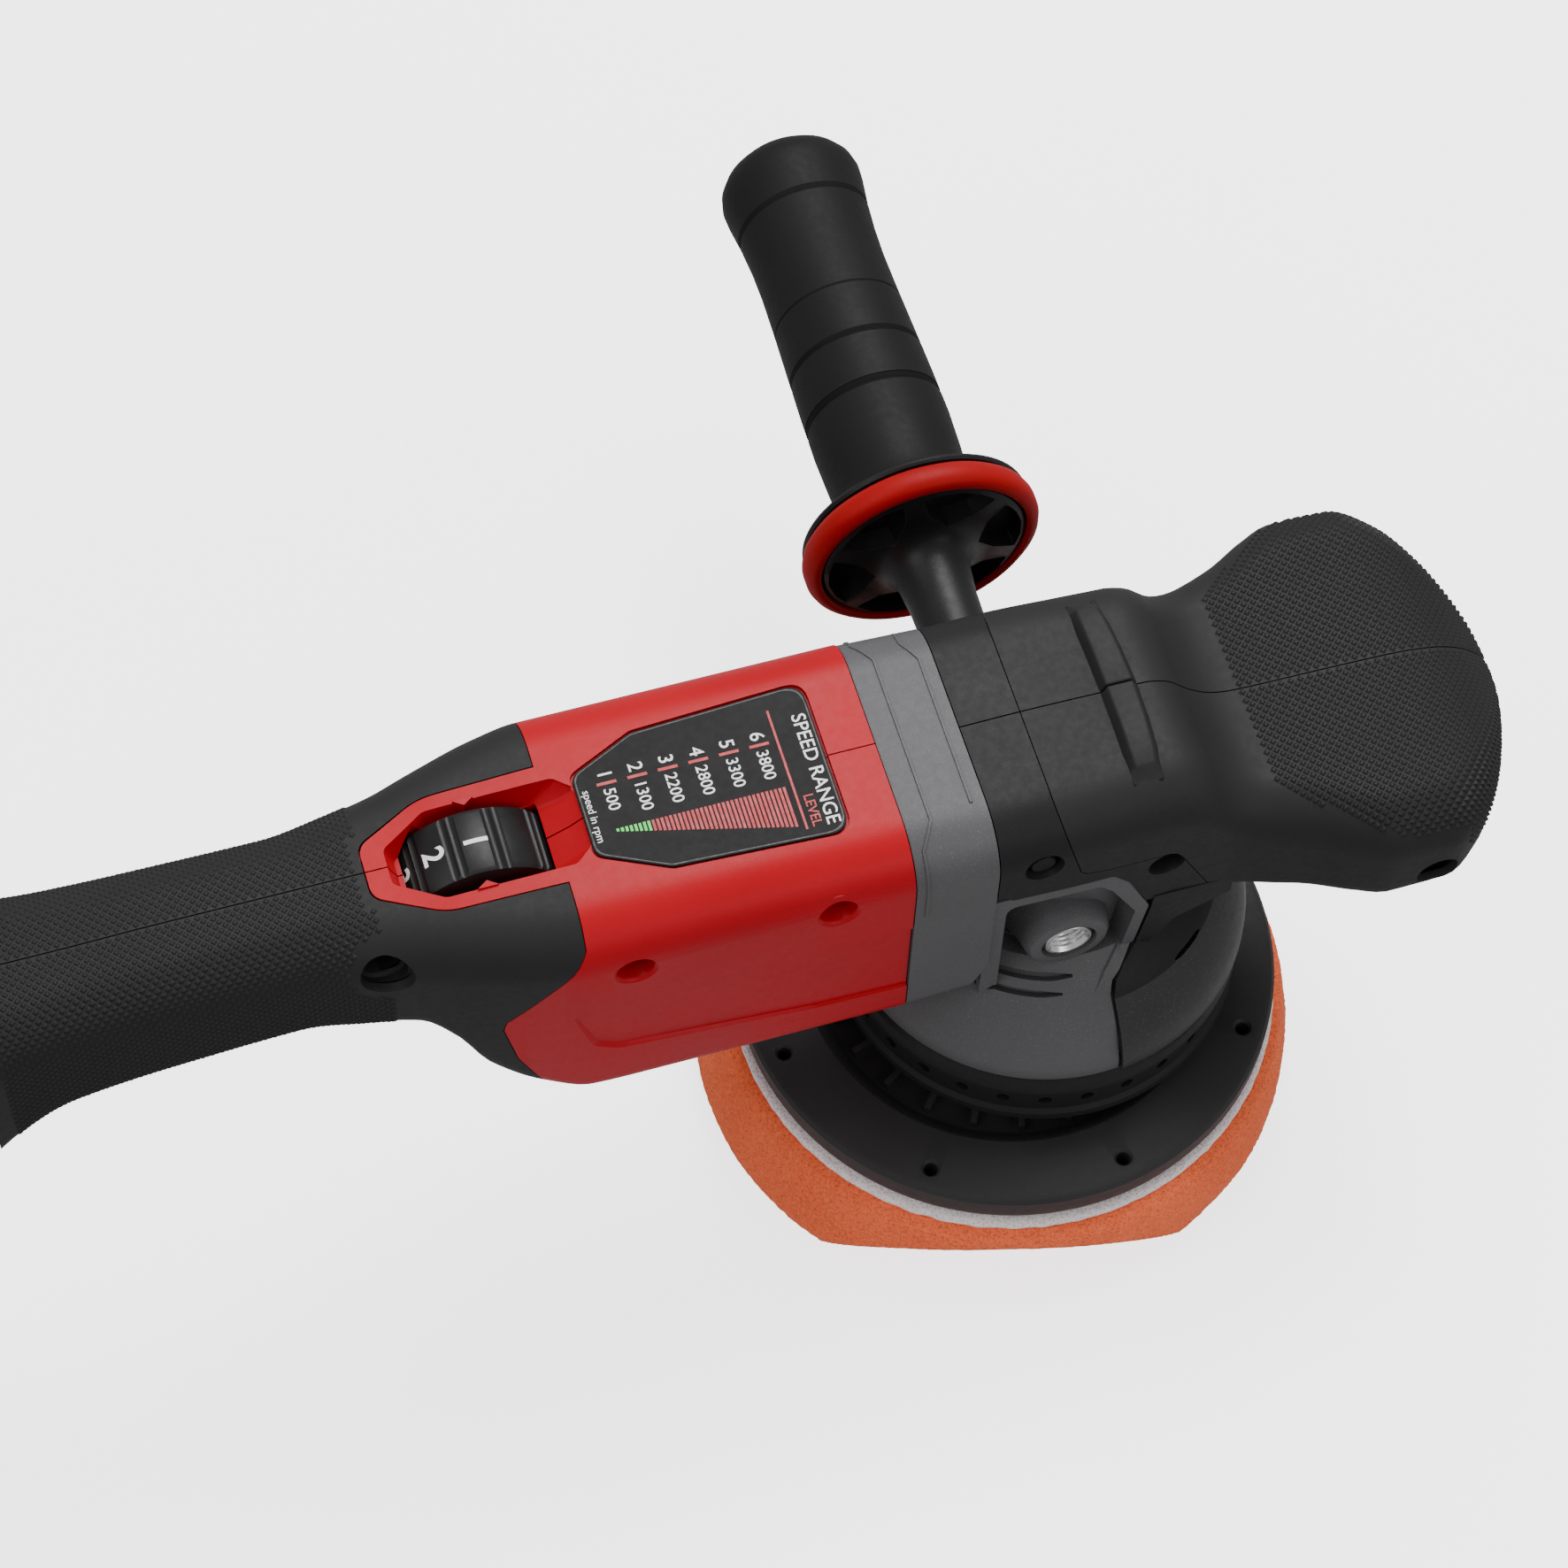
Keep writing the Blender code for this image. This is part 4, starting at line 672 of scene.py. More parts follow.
def body_shell(side):
    """One red half: walls, rooms, screw seats, wheel pocket, label bed and battery rail."""
    shell = BODY_FORM.solid(BODY_XS, 0.0, side, f"body_shell_{tag(side)}", RED)
    cut(shell, BODY_FORM.solid([-30] + steps_between(-43, -104, 6), SHELL, fine=5),
        BODY_FORM.solid(steps_between(-103, -255, 3.4), DEEP_WALL, fine=5))
    join(shell, prism([(-151, side * SEAM), (-104, side * SEAM), (-104, side * 14.5), (-140, side * 14),
                       (-151, side * 8)], "Z", [143.4, 150.6]))
    layer_xs = [20] + steps_between(-43, -104, 10) + steps_between(-106, -258, 3) + [-290]
    cut(shell, under_region(GRIP_EDGE + [(-236, 70), (-236, 165)], BODY_FORM, layer_xs,
                            prism(spine_outline(), "Z", SPINE_LEVELS)),
        wheel_pocket(), rod("Y", (WHEEL_X, WHEEL_Z), (-8.5, 8.5), WHEEL_RADIUS + 0.9, 72),
        prism(label_outline(0.55), "Z", [151.2, 156]), block(*TRIGGER_SLOT), side_panel(side),
        prism([(-30, 86.2), (-30, 85.55), (-112, 85.9), (-112, 86.5)], "Y", span_of(side, 27.6, 40)))
    for place in BODY_SCREWS:
        screw_seat(shell, side, place, BODY_WALL)
    screw_seat(shell, side, GRIP_SCREW, GRIP_WALL)
    if side == LEFT:
        cut(shell, rod("Y", LOCK, (9, 30), 5.9))
    rail = [(-256, SEAM), (-256, 20), (-262, 20), (-262, 24), (-266, 24), (-266, SEAM)]
    join(shell, prism(along_side(side, rail), "Z", [90, 160]))
    cut(shell, block((-268, -250), (-12, 12), (110, 130)))
    pointer = [(-130.0, 10.6), (-125.6, 10.6), (-127.8, 9.1)]
    join(shell, prism(along_side(side, pointer), "Z", [148.5, 152.2]))
    # The red faces seen through the grip's screw hole are painted black: painted shade inside the hole.
    finish(shell, "housing", "red_plastic", "housing_" + tag(side), 0.3, patch=(HARD_BLACK, near_grip_screw))


def grip_cover(side):
    """One half of the black overmould that wraps the grip and leaves the red spine open."""
    xs = [-104] + steps_between(-106, -240, 1.8)
    skin = BODY_FORM.solid(xs, 0.0, side, f"grip_cover_{tag(side)}", RUBBER)
    region = [(x - GROOVE, z) for x, z in GRIP_EDGE] + [(-235.7, 70), (-235.7, 165)]
    keep(skin, prism(region, "Y", [-60, 60]))
    cut(skin, BODY_FORM.solid([20] + steps_between(-104, -258, 3) + [-290], SKIN),
        prism(spine_outline(GROOVE + 0.1), "Z", SPINE_LEVELS), block(*TRIGGER_SLOT))
    if side == RIGHT:
        mouth = [(0, -5), (4.2, -5), (4.2, -16.2), (4.9, -17.4), (6.0, -22.6), (6.0, -40), (0, -40)]
        cut(skin, turned("Y", GRIP_SCREW, mouth, steps=40))
    else:
        cut(skin, rod("Y", LOCK, (9, 30), 6.3))
    finish(skin, "housing", "black_rubber", "grip_skin_" + tag(side), 0.35)


def diamond_field(name, form, xs, pitch, height, reach, inside):
    """Small pyramids over a patch of a form; inside(x, along, point) says which of them stand."""
    grid = {}

    def at(i, j):
        if (i, j) not in grid:
            grid[(i, j)] = form.point(xs[i], j * pitch)
        return grid[(i, j)]

    bm = bmesh.new()
    columns = int(reach / pitch)
    for i in range(1, len(xs) - 1):
        for j in range(-columns, columns + 1):
            centre = at(i, j)
            if (i + j) % 2 or not inside(xs[i], j * pitch, centre):
                continue
            corners = [at(i - 1, j), at(i, j + 1), at(i + 1, j), at(i, j - 1)]
            normal = (corners[2] - corners[0]).cross(corners[1] - corners[3])
            if normal.length < 1e-5:
                continue
            normal.normalize()
            if normal.dot(centre - Vector((centre.x - 6, 0, 118))) < 0:
                normal.negate()
            bridge(bm, [verts(bm, [centre + (c - centre) * 0.97 - normal * 0.12 for c in corners]),
                        verts(bm, [centre + (c - centre) * 0.30 + normal * height for c in corners])])
    show(smooth(make(bm, name, RUBBER), 20), "housing", "black_rubber")


def grip_texture():
    """The diamond texture round the grip, clear of the screw, the lock button, the trigger and the spine."""
    def inside(x, along, point):
        clear = math.hypot(x - GRIP_SCREW[0], point.z - GRIP_SCREW[1]) > 7.5 or point.y > 0
        lock = math.hypot(x - LOCK[0], point.z - LOCK[1]) > 9.0 or point.y < 0
        slot = not (abs(point.y) < 9.6 and point.z < 125)
        spine = x < -153.5 or abs(point.y) > 8.5
        return clear and lock and slot and spine and abs(along) > 1.0 and x > -231 and point.z > 109
    diamond_field("grip_texture", BODY_FORM, steps_between(-150.5, -232, 1.02), 1.02, 0.32, 64, inside)


# ---------------------------------------------------------------- head: cover, boot and nose texture

def skirt_solid(side):
    """The turned front skirt of one side, with the leg that carries it down from the band."""
    piece = turned("Z", (0, 0), [(0, SKIRT[-1][1])] + SKIRT[::-1] + [(0, SKIRT[0][1])], steps=120)
    keep(piece, prism([(12.4, 120)] + SKIRT_EDGE + [(80, 50), (80, 120)], "Y", span_of(side, SEAM, 70)))
    leg = rounded([(12.9, 110), (12.7, 105.8), (10.7, 90.5), (8, 82), (12, 82), (13.2, 88), (17.2, 94.9),
                   (18.4, 97.4), (31, 103.8), (31, 110)], [0, 0, 0.5, 0, 0, 1, 1, 1.5, 0, 0], 3)
    return join(piece, prism(leg, "Y", span_of(side, 24, 30.0)))


def arc_slot(side, radius, height, span, deep, tall):
    """A curved slot cutter on the dome: a tilted bar between two azimuths, in degrees."""
    bm = bmesh.new()
    rings = []
    start, end = span_of(side, *span)
    up = Vector((0, 0, 1))
    for k in range(25):
        angle = math.radians(start + (end - start) * k / 24)
        across = Vector((math.cos(angle), math.sin(angle), 0))
        inward = (-across - up * 0.75).normalized()
        size = tall * min(1.0, 0.35 + 1.2 * math.sin(math.pi * k / 24))
        wide = inward.cross(across.cross(up)).normalized() * size
        middle = across * radius + up * height
        inner, outer = middle + inward * deep, middle - inward * deep
        rings.append(verts(bm, [inner + wide, outer + wide, outer - wide, inner - wide]))
    bridge(bm, rings)
    return make(bm)


def head_shell(side):
    """The hard black band, nose shell and skirt."""
    cover = HEAD_FORM.solid(HEAD_XS, 0.0, side, f"head_shell_{tag(side)}", HARD_BLACK)
    core_xs = [-60] + steps_between(-23.7, 97, 2.6) + [98.2]
    cut(cover, under_region(BOOT_EDGE + [(34, 90), (120, 90), (120, 165)], HEAD_FORM, core_xs))
    join(cover, skirt_solid(side))
    skirt_room = [(0, 113.4), (28.4, 113.4)] + [(r - 2.2, z) for r, z in SKIRT[::-1]] + [(44.2, 58), (0, 58)]
    corner = rounded([(-22.4, 128.6), (-20.2, 126.3), (2.4, 125.0), (6.4, 120.0), (12.7, 106.0)],
                     [1, 1.5, 2.5, 1, 0.8], 4)
    opening = [(-30, 50), (-30, 131)] + corner + [(x + 0.3, z) for x, z in SKIRT_EDGE[1:]]
    cut(cover, HEAD_FORM.solid([-60] + steps_between(-23.7, 90, 3.4), DEEP_WALL, fine=5),
        turned("Z", (0, 0), skirt_room, steps=80), prism(opening, "Y", [-60, 60]))
    sink = [(0, 25.6), (3.9, 25.6), (3.9, 29.2), (4.3, 30.2), (4.9, 34), (4.9, 40), (0, 40)]
    for place in (BAND_SCREW, STRIP_SCREW):
        cut(cover, turned("Y", place, along_side(side, sink), steps=40),
            rod("Y", place, span_of(side, 20, 34), 1.9, 20))
    screw_seat(cover, side, NOSE_SCREW, NOSE_WALL)
    cut(cover, arc_slot(side, 38.6, 83.6, (46, 60), 1.6, 0.6))
    finish(cover, "housing", "black_plastic", "head_cover_" + tag(side), 0.3,
           patch=(GRAINED_BLACK, lambda c: c.z < 83.4 and math.hypot(c.x, c.y) > 38.4))


def rib_block(side):
    """The raised blade across the top of the boot, tapered to its ends."""
    bm = bmesh.new()
    rings = []
    for y, low, high, rise in ((0.0, 7.2, 15.4, 2.5), (9, 7.1, 15.1, 2.6), (16, 6.9, 14.5, 2.5),
                               (19.8, 7.1, 13.8, 1.8), (22.8, 7.5, 13.3, -0.6)):
        top = 149.8 + rise
        if y > 18:
            top -= (y - 18) ** 2 * 0.05
        ring = [(low - 0.9, 147.4), (high + 0.9, 147.4), (high + 0.2, 149.4), (high - 1.3, top),
                (low + 1.3, top), (low - 0.2, 149.4)]
        rings.append(verts(bm, [(x, side * max(y, SEAM), z) for x, z in ring]))
    bridge(bm, rings)
    return soften(make(bm), 0.45, 3, 25)


def boot(side):
    """One half of the soft boot over the head, with half of its raised rib."""
    piece = HEAD_FORM.solid(HEAD_XS, 0.0, side, f"boot_{tag(side)}", RUBBER, 12)
    region = [(x + GROOVE, z + (GROOVE if -4.5 < x < 17 else 0)) for x, z in BOOT_EDGE]
    keep(piece, prism(region + [(34.3, 90), (120, 90), (120, 165)], "Y", [-70, 70]))
    cut(piece, HEAD_FORM.solid([-60] + steps_between(-23.7, 96, 2.6) + [97.4], SKIN),
        turned("Z", (0, 0), [(0, 112), (38, 112), (38, 90), (0, 90)], steps=90))
    join(piece, rib_block(side))
    if side == RIGHT:
        mouth = [(0, -20), (4.1, -20), (4.1, -41.0), (4.6, -42.0), (5.4, -44.9), (5.4, -60), (0, -60)]
        cut(piece, turned("Y", NOSE_SCREW, mouth, steps=40))
    finish(piece, "housing", "black_rubber", "head_boot_" + tag(side), 0.35)


def nose_texture():
    """The field of small pyramids on the nose that wraps over its front edge."""
    pitch = 1.10
    xs = [39.0]
    while xs[-1] < 98.4:
        x = xs[-1]
        steep = (HEAD_FORM.at(min(x + 0.5, 99.0))[2] - HEAD_FORM.at(x)[2]) / 0.5
        xs.append(x + pitch / math.sqrt(1 + steep * steep) * (1.0 if x < 80 else 0.9))
    xs.append(min(xs[-1] + 0.3, 99.0))

    def inside(x, along, point):
        reach = 24.6 + (x - 39.4) * (15.0 / 20.6) if x < 60 else 39.6 + (x - 60) * 0.30
        low = 128.6 if x < 64 else max(128.6 - (x - 64) * 0.62, 118.5)
        return x >= 39.6 and abs(point.y) < min(reach, 41.2) and point.z > low and abs(along) > 0.7
    diamond_field("nose_texture", HEAD_FORM, xs, pitch, 0.42, 62, inside)


# ---------------------------------------------------------------- grey gear casing

def hollowed_dome():
    """The turned dome with a shallow step down round the gear case, behind the skirt."""
    dome = turned("Z", (0, 0), [(0, 91.3)] + DOME[::-1] + [(0, 60.8)], steps=144)
    lowered = [(r - 0.9, z) for r, z in DOME if z > 80]
    step_down = [(60, 82.2), (39.2, 82.2)] + lowered[1:-1] + [(25.8, 90.4), (25.6, 95), (60, 95)]
    hollow = turned("Z", (0, 0), step_down, steps=144, ring=True)
    inner_edge = [(-60, 80), (-5.5, 80), (-1.5, 83.6), (2.3, 87.7), (7.2, 91), (7.2, 96), (-60, 96)]
    return cut(dome, keep(hollow, prism(inner_edge, "Y", [-60, 60])))


def casing():
    """The grey collar, side frames, handle bosses, dome and gear room in one casting."""
    case = COLLAR_FORM.solid(steps_between(-42, -24, 3), name="gear_casing", paint=GREY)
    cut(case, prism(rounded([(-22, 101), (-24.2, 98.6), (-28.6, 88.4), (-28.8, 80), (-22, 80)],
                            [0, 1.5, 2, 0, 0], 4), "Y", [-40, 40]))
    join(case, prism(rounded([(-25, 84), (-25, 125.4), (2.6, 124.4), (6.6, 119.4), (12.4, 105.6), (10.4, 90),
                              (9.4, 84)], [0, 0, 2.4, 1.2, 0.8, 0, 0], 4), "Y", [-29.7, 29.7]))
    pocket = rounded([(-21.0, 86), (-21.0, 121.4), (0.0, 120.6), (3.0, 117.2), (9.2, 105.0), (7.4, 91), (3, 78),
                      (-17, 78)], [1.5, 3, 2, 1.5, 1, 1, 1, 1], 4)
    for side in (LEFT, RIGHT):
        cut(case, side_prism(side, pocket, [(19.4, -2.0), (26.6, -0.8), (28.8, 0.0), (40, 0.0)]))
    join(case, rod("Z", (0, 0), (86, 128), 25.2, 96), hollowed_dome())
    boss = [(0, 20.3), (12.0, 20.3), (10.6, 23.6), (10.0, 26.0), (9.4, 28.8), (8.7, 29.7), (7.9, BOSS_FACE),
            (0, BOSS_FACE)]
    for side in (LEFT, RIGHT):
        join(case, turned("Y", BOSS, along_side(side, boss), steps=48))
    cut(case, turned("Z", (0, 0), [(0, 70.8), (32, 70.8), (41.8, 65.5), (41.8, 59), (0, 59)], steps=72))
    gap = [(max(r - 2.5, 28.2), z) for r, z in SKIRT]
    room = turned("Z", (0, 0), [(60, 113), (60, 58), (gap[0][0], 58)] + gap + [(28.2, 113)], ring=True)
    reach = [(12.1, 120)] + [(x - 0.3, z) for x, z in SKIRT_EDGE] + [(80, 50), (80, 120)]
    cut(case, keep(room, prism(reach, "Y", [-80, 80])))
    for axis, centre, span, radius, steps in (
            ("Z", (0, 0), (MOTOR_Z + 3.2, 130), 22.6, 64), ("X", (0, MOTOR_Z), (-31, -6), 9.4, 32),
            ("Z", (0, 0), (88, 120), 12.5, 32), ("Z", (0, 0), (70, 90), 8.2, 32),
            ("Z", (0, 0), (69, 82.3), 16.3, 32),
            ("X", (0, MOTOR_Z), (-44, -28), 6.0, 32), ("X", (0, MOTOR_Z), (-44, -34.5), 11.3, 32),
            ("Y", BOSS, (-32, -17.7), 6.3, 40), ("Y", BOSS, (17.7, 32), 6.3, 40)):
        cut(case, rod(axis, centre, span, radius, steps))
    for side in (LEFT, RIGHT):
        cut(case, arc_slot(side, 33.0, 87.6, (98, 143), 1.9, 0.95),
            arc_slot(side, 35.8, 84.8, (102, 143), 1.9, 0.75))
    finish(case, "housing", "grey_plastic", "gear_housing", 0.35)


def ribbon(name, path, width, height, paint):
    """A thin raised line along points with normals."""
    bm = bmesh.new()
    rings = []
    for k, (point, normal) in enumerate(path):
        ahead = path[min(k + 1, len(path) - 1)][0] - path[max(k - 1, 0)][0]
        across = ahead.normalized().cross(normal).normalized() * (width / 2)
        rings.append(verts(bm, [point - across - normal * 0.25, point + across - normal * 0.25,
                                point + across * 0.55 + normal * height,
                                point - across * 0.55 + normal * height]))
    bridge(bm, rings)
    return make(bm, name, paint)


def collar_trim():
    """Two raised lines on the collar that bend in towards its shoulders, as (x, distance from the top)."""
    lines = (((-39.6, -47), (-39.6, -26), (-36.4, -20), (-36.4, 20), (-39.6, 26), (-39.6, 34)),
             ((-27.0, -18), (-27.0, 18), (-29.6, 23), (-29.6, 30)))
    for index, knots in enumerate(lines):
        path = []
        for (x0, s0), (x1, s1) in zip(knots, knots[1:]):
            count = max(int(math.dist((x0, s0), (x1, s1)) / 1.2), 1)
            for k in range(count):
                x, s = x0 + (x1 - x0) * k / count, s0 + (s1 - s0) * k / count
                here = COLLAR_FORM.point(x, s)
                along = (COLLAR_FORM.point(x, s + math.copysign(0.2, s)) - here).normalized()
                normal = Vector((0, -along.z, along.y))
                if normal.dot(Vector((0, here.y, here.z - 118))) < 0:
                    normal.negate()
                path.append((here, normal))
        show(ribbon(f"collar_trim_{index + 1}", path, 0.95, 0.35, GREY), "housing", "grey_plastic")


def thread_inserts():
    """Steel inserts with a real thread form inside, one in each handle boss."""
    profile = [(6.0, 18.0), (6.0, 28.4), (5.2, 29.6), (4.7, 29.6)]
    along, thread_pitch = 29.0, 1.05
    while along > 19.5:
        profile += [(4.05, along - 0.32), (4.6, along - 0.85)]
        along -= thread_pitch
    profile += [(4.3, 18.0)]
    for side in (LEFT, RIGHT):
        piece = turned("Y", BOSS, along_side(side, profile), f"thread_{tag(side)}", BRIGHT_STEEL, 56, True)
        show(smooth(piece, 24), "housing", "steel", "thread_insert_" + tag(side))


def vent_ring():
    """The black ring of air holes under the dome, with a stepped lip."""
    profile = [(43.4, 60.4), (44.6, 60.4), (45.9, 59.4), (46.5, 57.4), (46.5, 56.2), (45.6, 55.4), (45.6, 47.2),
               (46.6, 46.2), (46.8, 44.4), (46.2, 43.4), (43.4, 43.4)]
    ring = turned("Z", (0, 0), profile, "air_ring", HARD_BLACK, 180, ring=True)
    for index in range(15):
        hole = rod("X", (0, 51.4), (-60, 60), 1.55, 14)
        hole.data.transform(Matrix.Rotation(math.radians(3 + 12 * index), 4, "Z"))
        cut(ring, hole)
    finish(ring, "housing", "black_plastic", "vent_ring")


# ---------------------------------------------------------------- pad

def backing_plate():
    """The plate with its hub, rim holes and radial ribs."""
    profile = [(0, 41), (12.2, 41), (13.4, 40.4), (16.4, 33.6), (18.4, 32.2), (42.6, 32.2), (43.8, 32.8),
               (46.2, 36.3), (47.4, 37.0), (60.6, 37.0), (61.8, 36.6), (62.5, 35.6), (62.5, 31.0), (61.9, 28.8),
               (60.2, 27.2), (58.6, 26.6), (0, 26.6)]
    plate = turned("Z", PAD_CENTRE, profile, "pad_plate", PLATE_BLACK, 144)
    cut(plate, rod("Z", PAD_CENTRE, (25, 43), 4.4), rod("Z", PAD_CENTRE, (25, 33.4), 9.0))
    hole = [(0, 40), (2.3, 40), (2.2, 37), (1.6, 36.3), (1.6, 25), (0, 25)]
    for index in range(8):
        angle = math.radians(45 * index + 10)
        where = (PAD_CENTRE[0] + 57 * math.cos(angle), 57 * math.sin(angle))
        cut(plate, turned("Z", where, hole, steps=20))
    for index in range(24):
        turn = Matrix.Rotation(math.radians(15 * index + 2.5), 4, "Z")
        rib = block((18.6, 42.4), (-0.7, 0.7), (31.5, 34.6))
        rib.data.transform(Matrix.Translation((PAD_CENTRE[0] * MM, 0, 0)) @ turn)
        join(plate, rib)
    finish(plate, "pad", "black_plastic", "backing_plate")


def waves(seed, count, low, high, size):
    """A smooth closed wobble of an angle made of a few seeded waves."""
    draw = random.Random(seed)
    terms = [(draw.randint(low, high), draw.uniform(0, 2 * math.pi), draw.uniform(0.3, 1.0))
             for _ in range(count)]
    scale = size / sum(t[2] for t in terms)
    return lambda angle: scale * sum(w * math.sin(k * angle + p) for k, p, w in terms)


def loop_layer():
    """The white loop layer with a frayed, slightly lifted edge."""
    fray, lift = waves(4, 14, 18, 110, 0.35), waves(9, 10, 6, 60, 0.14)
    profile = [(0, 26.4), (30, 26.4), (60, 26.4), (62.3, 26.4), (63.1, 26.1), (63.4, 25.4), (63.2, 24.5),
               (62.6, 24.15), (30, 24.15), (0, 24.15)]
    piece = turned("Z", PAD_CENTRE, profile, "loop_disc", LOOP, 360,
                   wobble=lambda a, r, z: (fray(a) if r > 61.5 else 0.0,
                                           lift(a) if r > 61.5 and z > 25 else 0.0))
    show(smooth(piece, 60), "pad", "loop_cloth", "loop_layer")


def foam_pad():
    """The foam disc: crowned uneven sides, pressed back where its near edge meets the floor."""
    thick = 24.0
    draw = random.Random(21)
    outer = [(64.4, 23.9), (65.6, 23.2), (66.5, 21.6), (67.4, 18.6), (68.2, 15.6), (68.9, 12.6), (69.4, 9.8),
             (69.7, 7.2), (69.6, 5.0), (69.1, 3.2), (68.2, 1.7), (66.9, 0.6), (65.2, 0.05)]
    dense = []
    for first, second in zip(outer, outer[1:]):
        count = max(int(math.dist(first, second) / 0.9), 1)
        dense += [(first[0] + (second[0] - first[0]) * k / count,
                   first[1] + (second[1] - first[1]) * k / count) for k in range(count)]
    profile = [(r, thick) for r in (0, 20, 40, 56, 62)] + dense + [outer[-1]]
    profile += [(r, 0.0) for r in (60, 40, 20, 0)]
    slow, slower = waves(5, 8, 3, 24, 0.5), waves(6, 5, 2, 9, 0.5)

    def wobble(angle, radius, along):
        if radius < 63.5:
            return 0.0, 0.0
        share = math.sin(math.pi * min(max(along / thick, 0), 1))
        swell = (slow(angle) + slower(angle + along * 0.05)) * (0.3 + share) * 0.6
        return swell + draw.uniform(-0.16, 0.10), 0.0
    pad = turned("Z", PAD_CENTRE, profile, "foam_disc", FOAM, 520, wobble=wobble)
    load_x, load_y, give, lean = 0.246, 0.969, 0.9, 2.6
    for vertex in pad.data.vertices:
        x, y, z = vertex.co / MM
        beyond = -(load_x * x + load_y * y) - (54.5 + 0.66 * z)
        if beyond > 0:
            x, y = x + load_x * give * beyond, y + load_y * give * beyond
        vertex.co = Vector((x - lean * (1 - min(z, thick) / thick), y, z)) * MM
    smooth(pad, 70)
    show(pad, "pad", "orange_foam", "foam_pad")


# ---------------------------------------------------------------- side handle

def side_handle():
    """The screwed-on handle: a core with a pocketed flange, a red bead and a grooved soft cover."""
    profile = [(0, 178), (9.0, 178), (9.0, 82), (25.6, 82), (26.6, 81.6), (26.8, 81.0), (26.4, 80.3), (24.2, 80),
               (24.2, 74.6), (23.8, 73.8), (22.8, 73.2), (16.0, 72.6), (13.0, 72.0), (11.2, 71.0), (9.6, 69.2),
               (8.6, 66.4), (7.9, 60), (7.6, 48), (7.7, 40), (8.2, 35.6), (8.8, 33.6), (8.8, 30.8), (8.2, 30.3),
               (4.3, 30.3), (4.3, 54), (0, 54)]
    stem = turned("Y", BOSS, profile, "handle_core", DARK_BLACK)
    pocket = ((22.2, -24), (22.6, -12), (22.7, 0), (22.6, 12), (22.2, 24), (16.4, 19), (12.6, 0), (16.4, -19))
    for index in range(6):
        angle = math.radians(60 * index + 10)
        spokes = [(r, angle + math.radians(a)) for r, a in pocket]
        outline = [(BOSS[0] + r * math.cos(a), BOSS[1] + r * math.sin(a)) for r, a in spokes]
        cut(stem, prism(rounded(outline, 0.8, 3), "Y", [(66, 0.6), (74.2, 0.3), (76.6, -0.4)]))
    finish(stem, "housing", "black_plastic", "handle_stem", 0.25)
    uneven = waves(12, 6, 3, 17, 0.10)
    bead = [(24.5, 79.8), (26.2, 79.7), (27.3, 79.0), (27.9, 77.6), (27.9, 75.6), (27.3, 74.2), (26.2, 73.3),
            (25.0, 73.0), (24.5, 73.4)]
    ring = turned("Y", BOSS, bead, "handle_bead", RED_SOFT, 140, ring=True,
                  wobble=lambda a, r, z: (uneven(a) if r > 26 else 0.0, 0.0))
    show(smooth(ring, 60), "housing", "red_rubber", "handle_ring")
    cover = [(0, 188), (5, 187.9), (9, 187.3), (12.2, 186.1), (14.8, 184.0), (16.5, 181.4), (17.1, 178.6),
             (16.9, 175.2), (16.1, 169), (15.5, 161), (15.3, 153), (15.5, 143), (15.9, 131), (16.3, 118),
             (16.5, 106), (16.2, 97), (15.9, 91), (16.3, 87.2), (17.8, 84.4), (19.6, 82.9), (19.4, 82.3),
             (9.3, 82.3), (9.3, 178.4), (0, 178.4)]
    grip = turned("Y", BOSS, cover, "handle_cover", SHADED_HANDLE_RUBBER)
    for index in range(5):
        middle = 112 + 14 * index
        groove = [(19, 1.1), (16.2, 1.1), (15.3, 0), (16.2, -1.1), (19, -1.1)]
        cut(grip, turned("Y", BOSS, [(r, middle + a) for r, a in groove], ring=True))
    finish(grip, "housing", "black_rubber", "handle_grip", 0.3)


# ---------------------------------------------------------------- speed wheel and label

READ_DOWN = Matrix.Rotation(math.radians(-90), 4, "Z")
LABEL_FACE = 152.02
SPEEDS = (500, 1300, 2200, 2800, 3300, 3800)


def text_mesh(text, size, extrude, swell, anchor="CENTER", resolution=12):
    """The mesh of a line of text on the XY plane, with its middle line on y = 0."""
    curve = bpy.data.curves.new("text", "FONT")
    curve.body = text
    curve.size, curve.extrude, curve.offset = size * MM, extrude * MM, swell * MM
    curve.align_x, curve.align_y = anchor, "CENTER"
    curve.resolution_u = resolution
    holder = bpy.data.objects.new("text", curve)
    SCENE.objects.link(holder)
    bpy.context.view_layer.update()
    mesh = bpy.data.meshes.new_from_object(holder.evaluated_get(bpy.context.evaluated_depsgraph_get()))
    bpy.data.objects.remove(holder, do_unlink=True)
    return mesh


def lettering(name, rows, paint, swell=0.0):
    """Rows of (text, x, y, height, anchor) as one printed piece that reads along -Y, with its top to +X."""
    bm = bmesh.new()
    for text, x, y, size, anchor in rows:
        mesh = text_mesh(text, size, 0.05, swell, anchor, 4)
        mesh.transform(Matrix.Translation(Vector((x, y, LABEL_FACE)) * MM) @ READ_DOWN)
        bm.from_mesh(mesh)
        bpy.data.meshes.remove(mesh)
    show(make(bm, name, paint), "housing", "label_film")


def bars(name, boxes, paint):
    """Flat printed bars, as (x, y from, y to, width), in one piece."""
    bm = bmesh.new()
    for x, first, second, width in boxes:
        low, high = x - width / 2, x + width / 2
        corners = [(low, first), (high, first), (high, second), (low, second)]
        bridge(bm, [verts(bm, [(u, v, z) for u, v in corners]) for z in (LABEL_FACE, LABEL_FACE + 0.06)])
    show(make(bm, name, paint), "housing", "label_film")


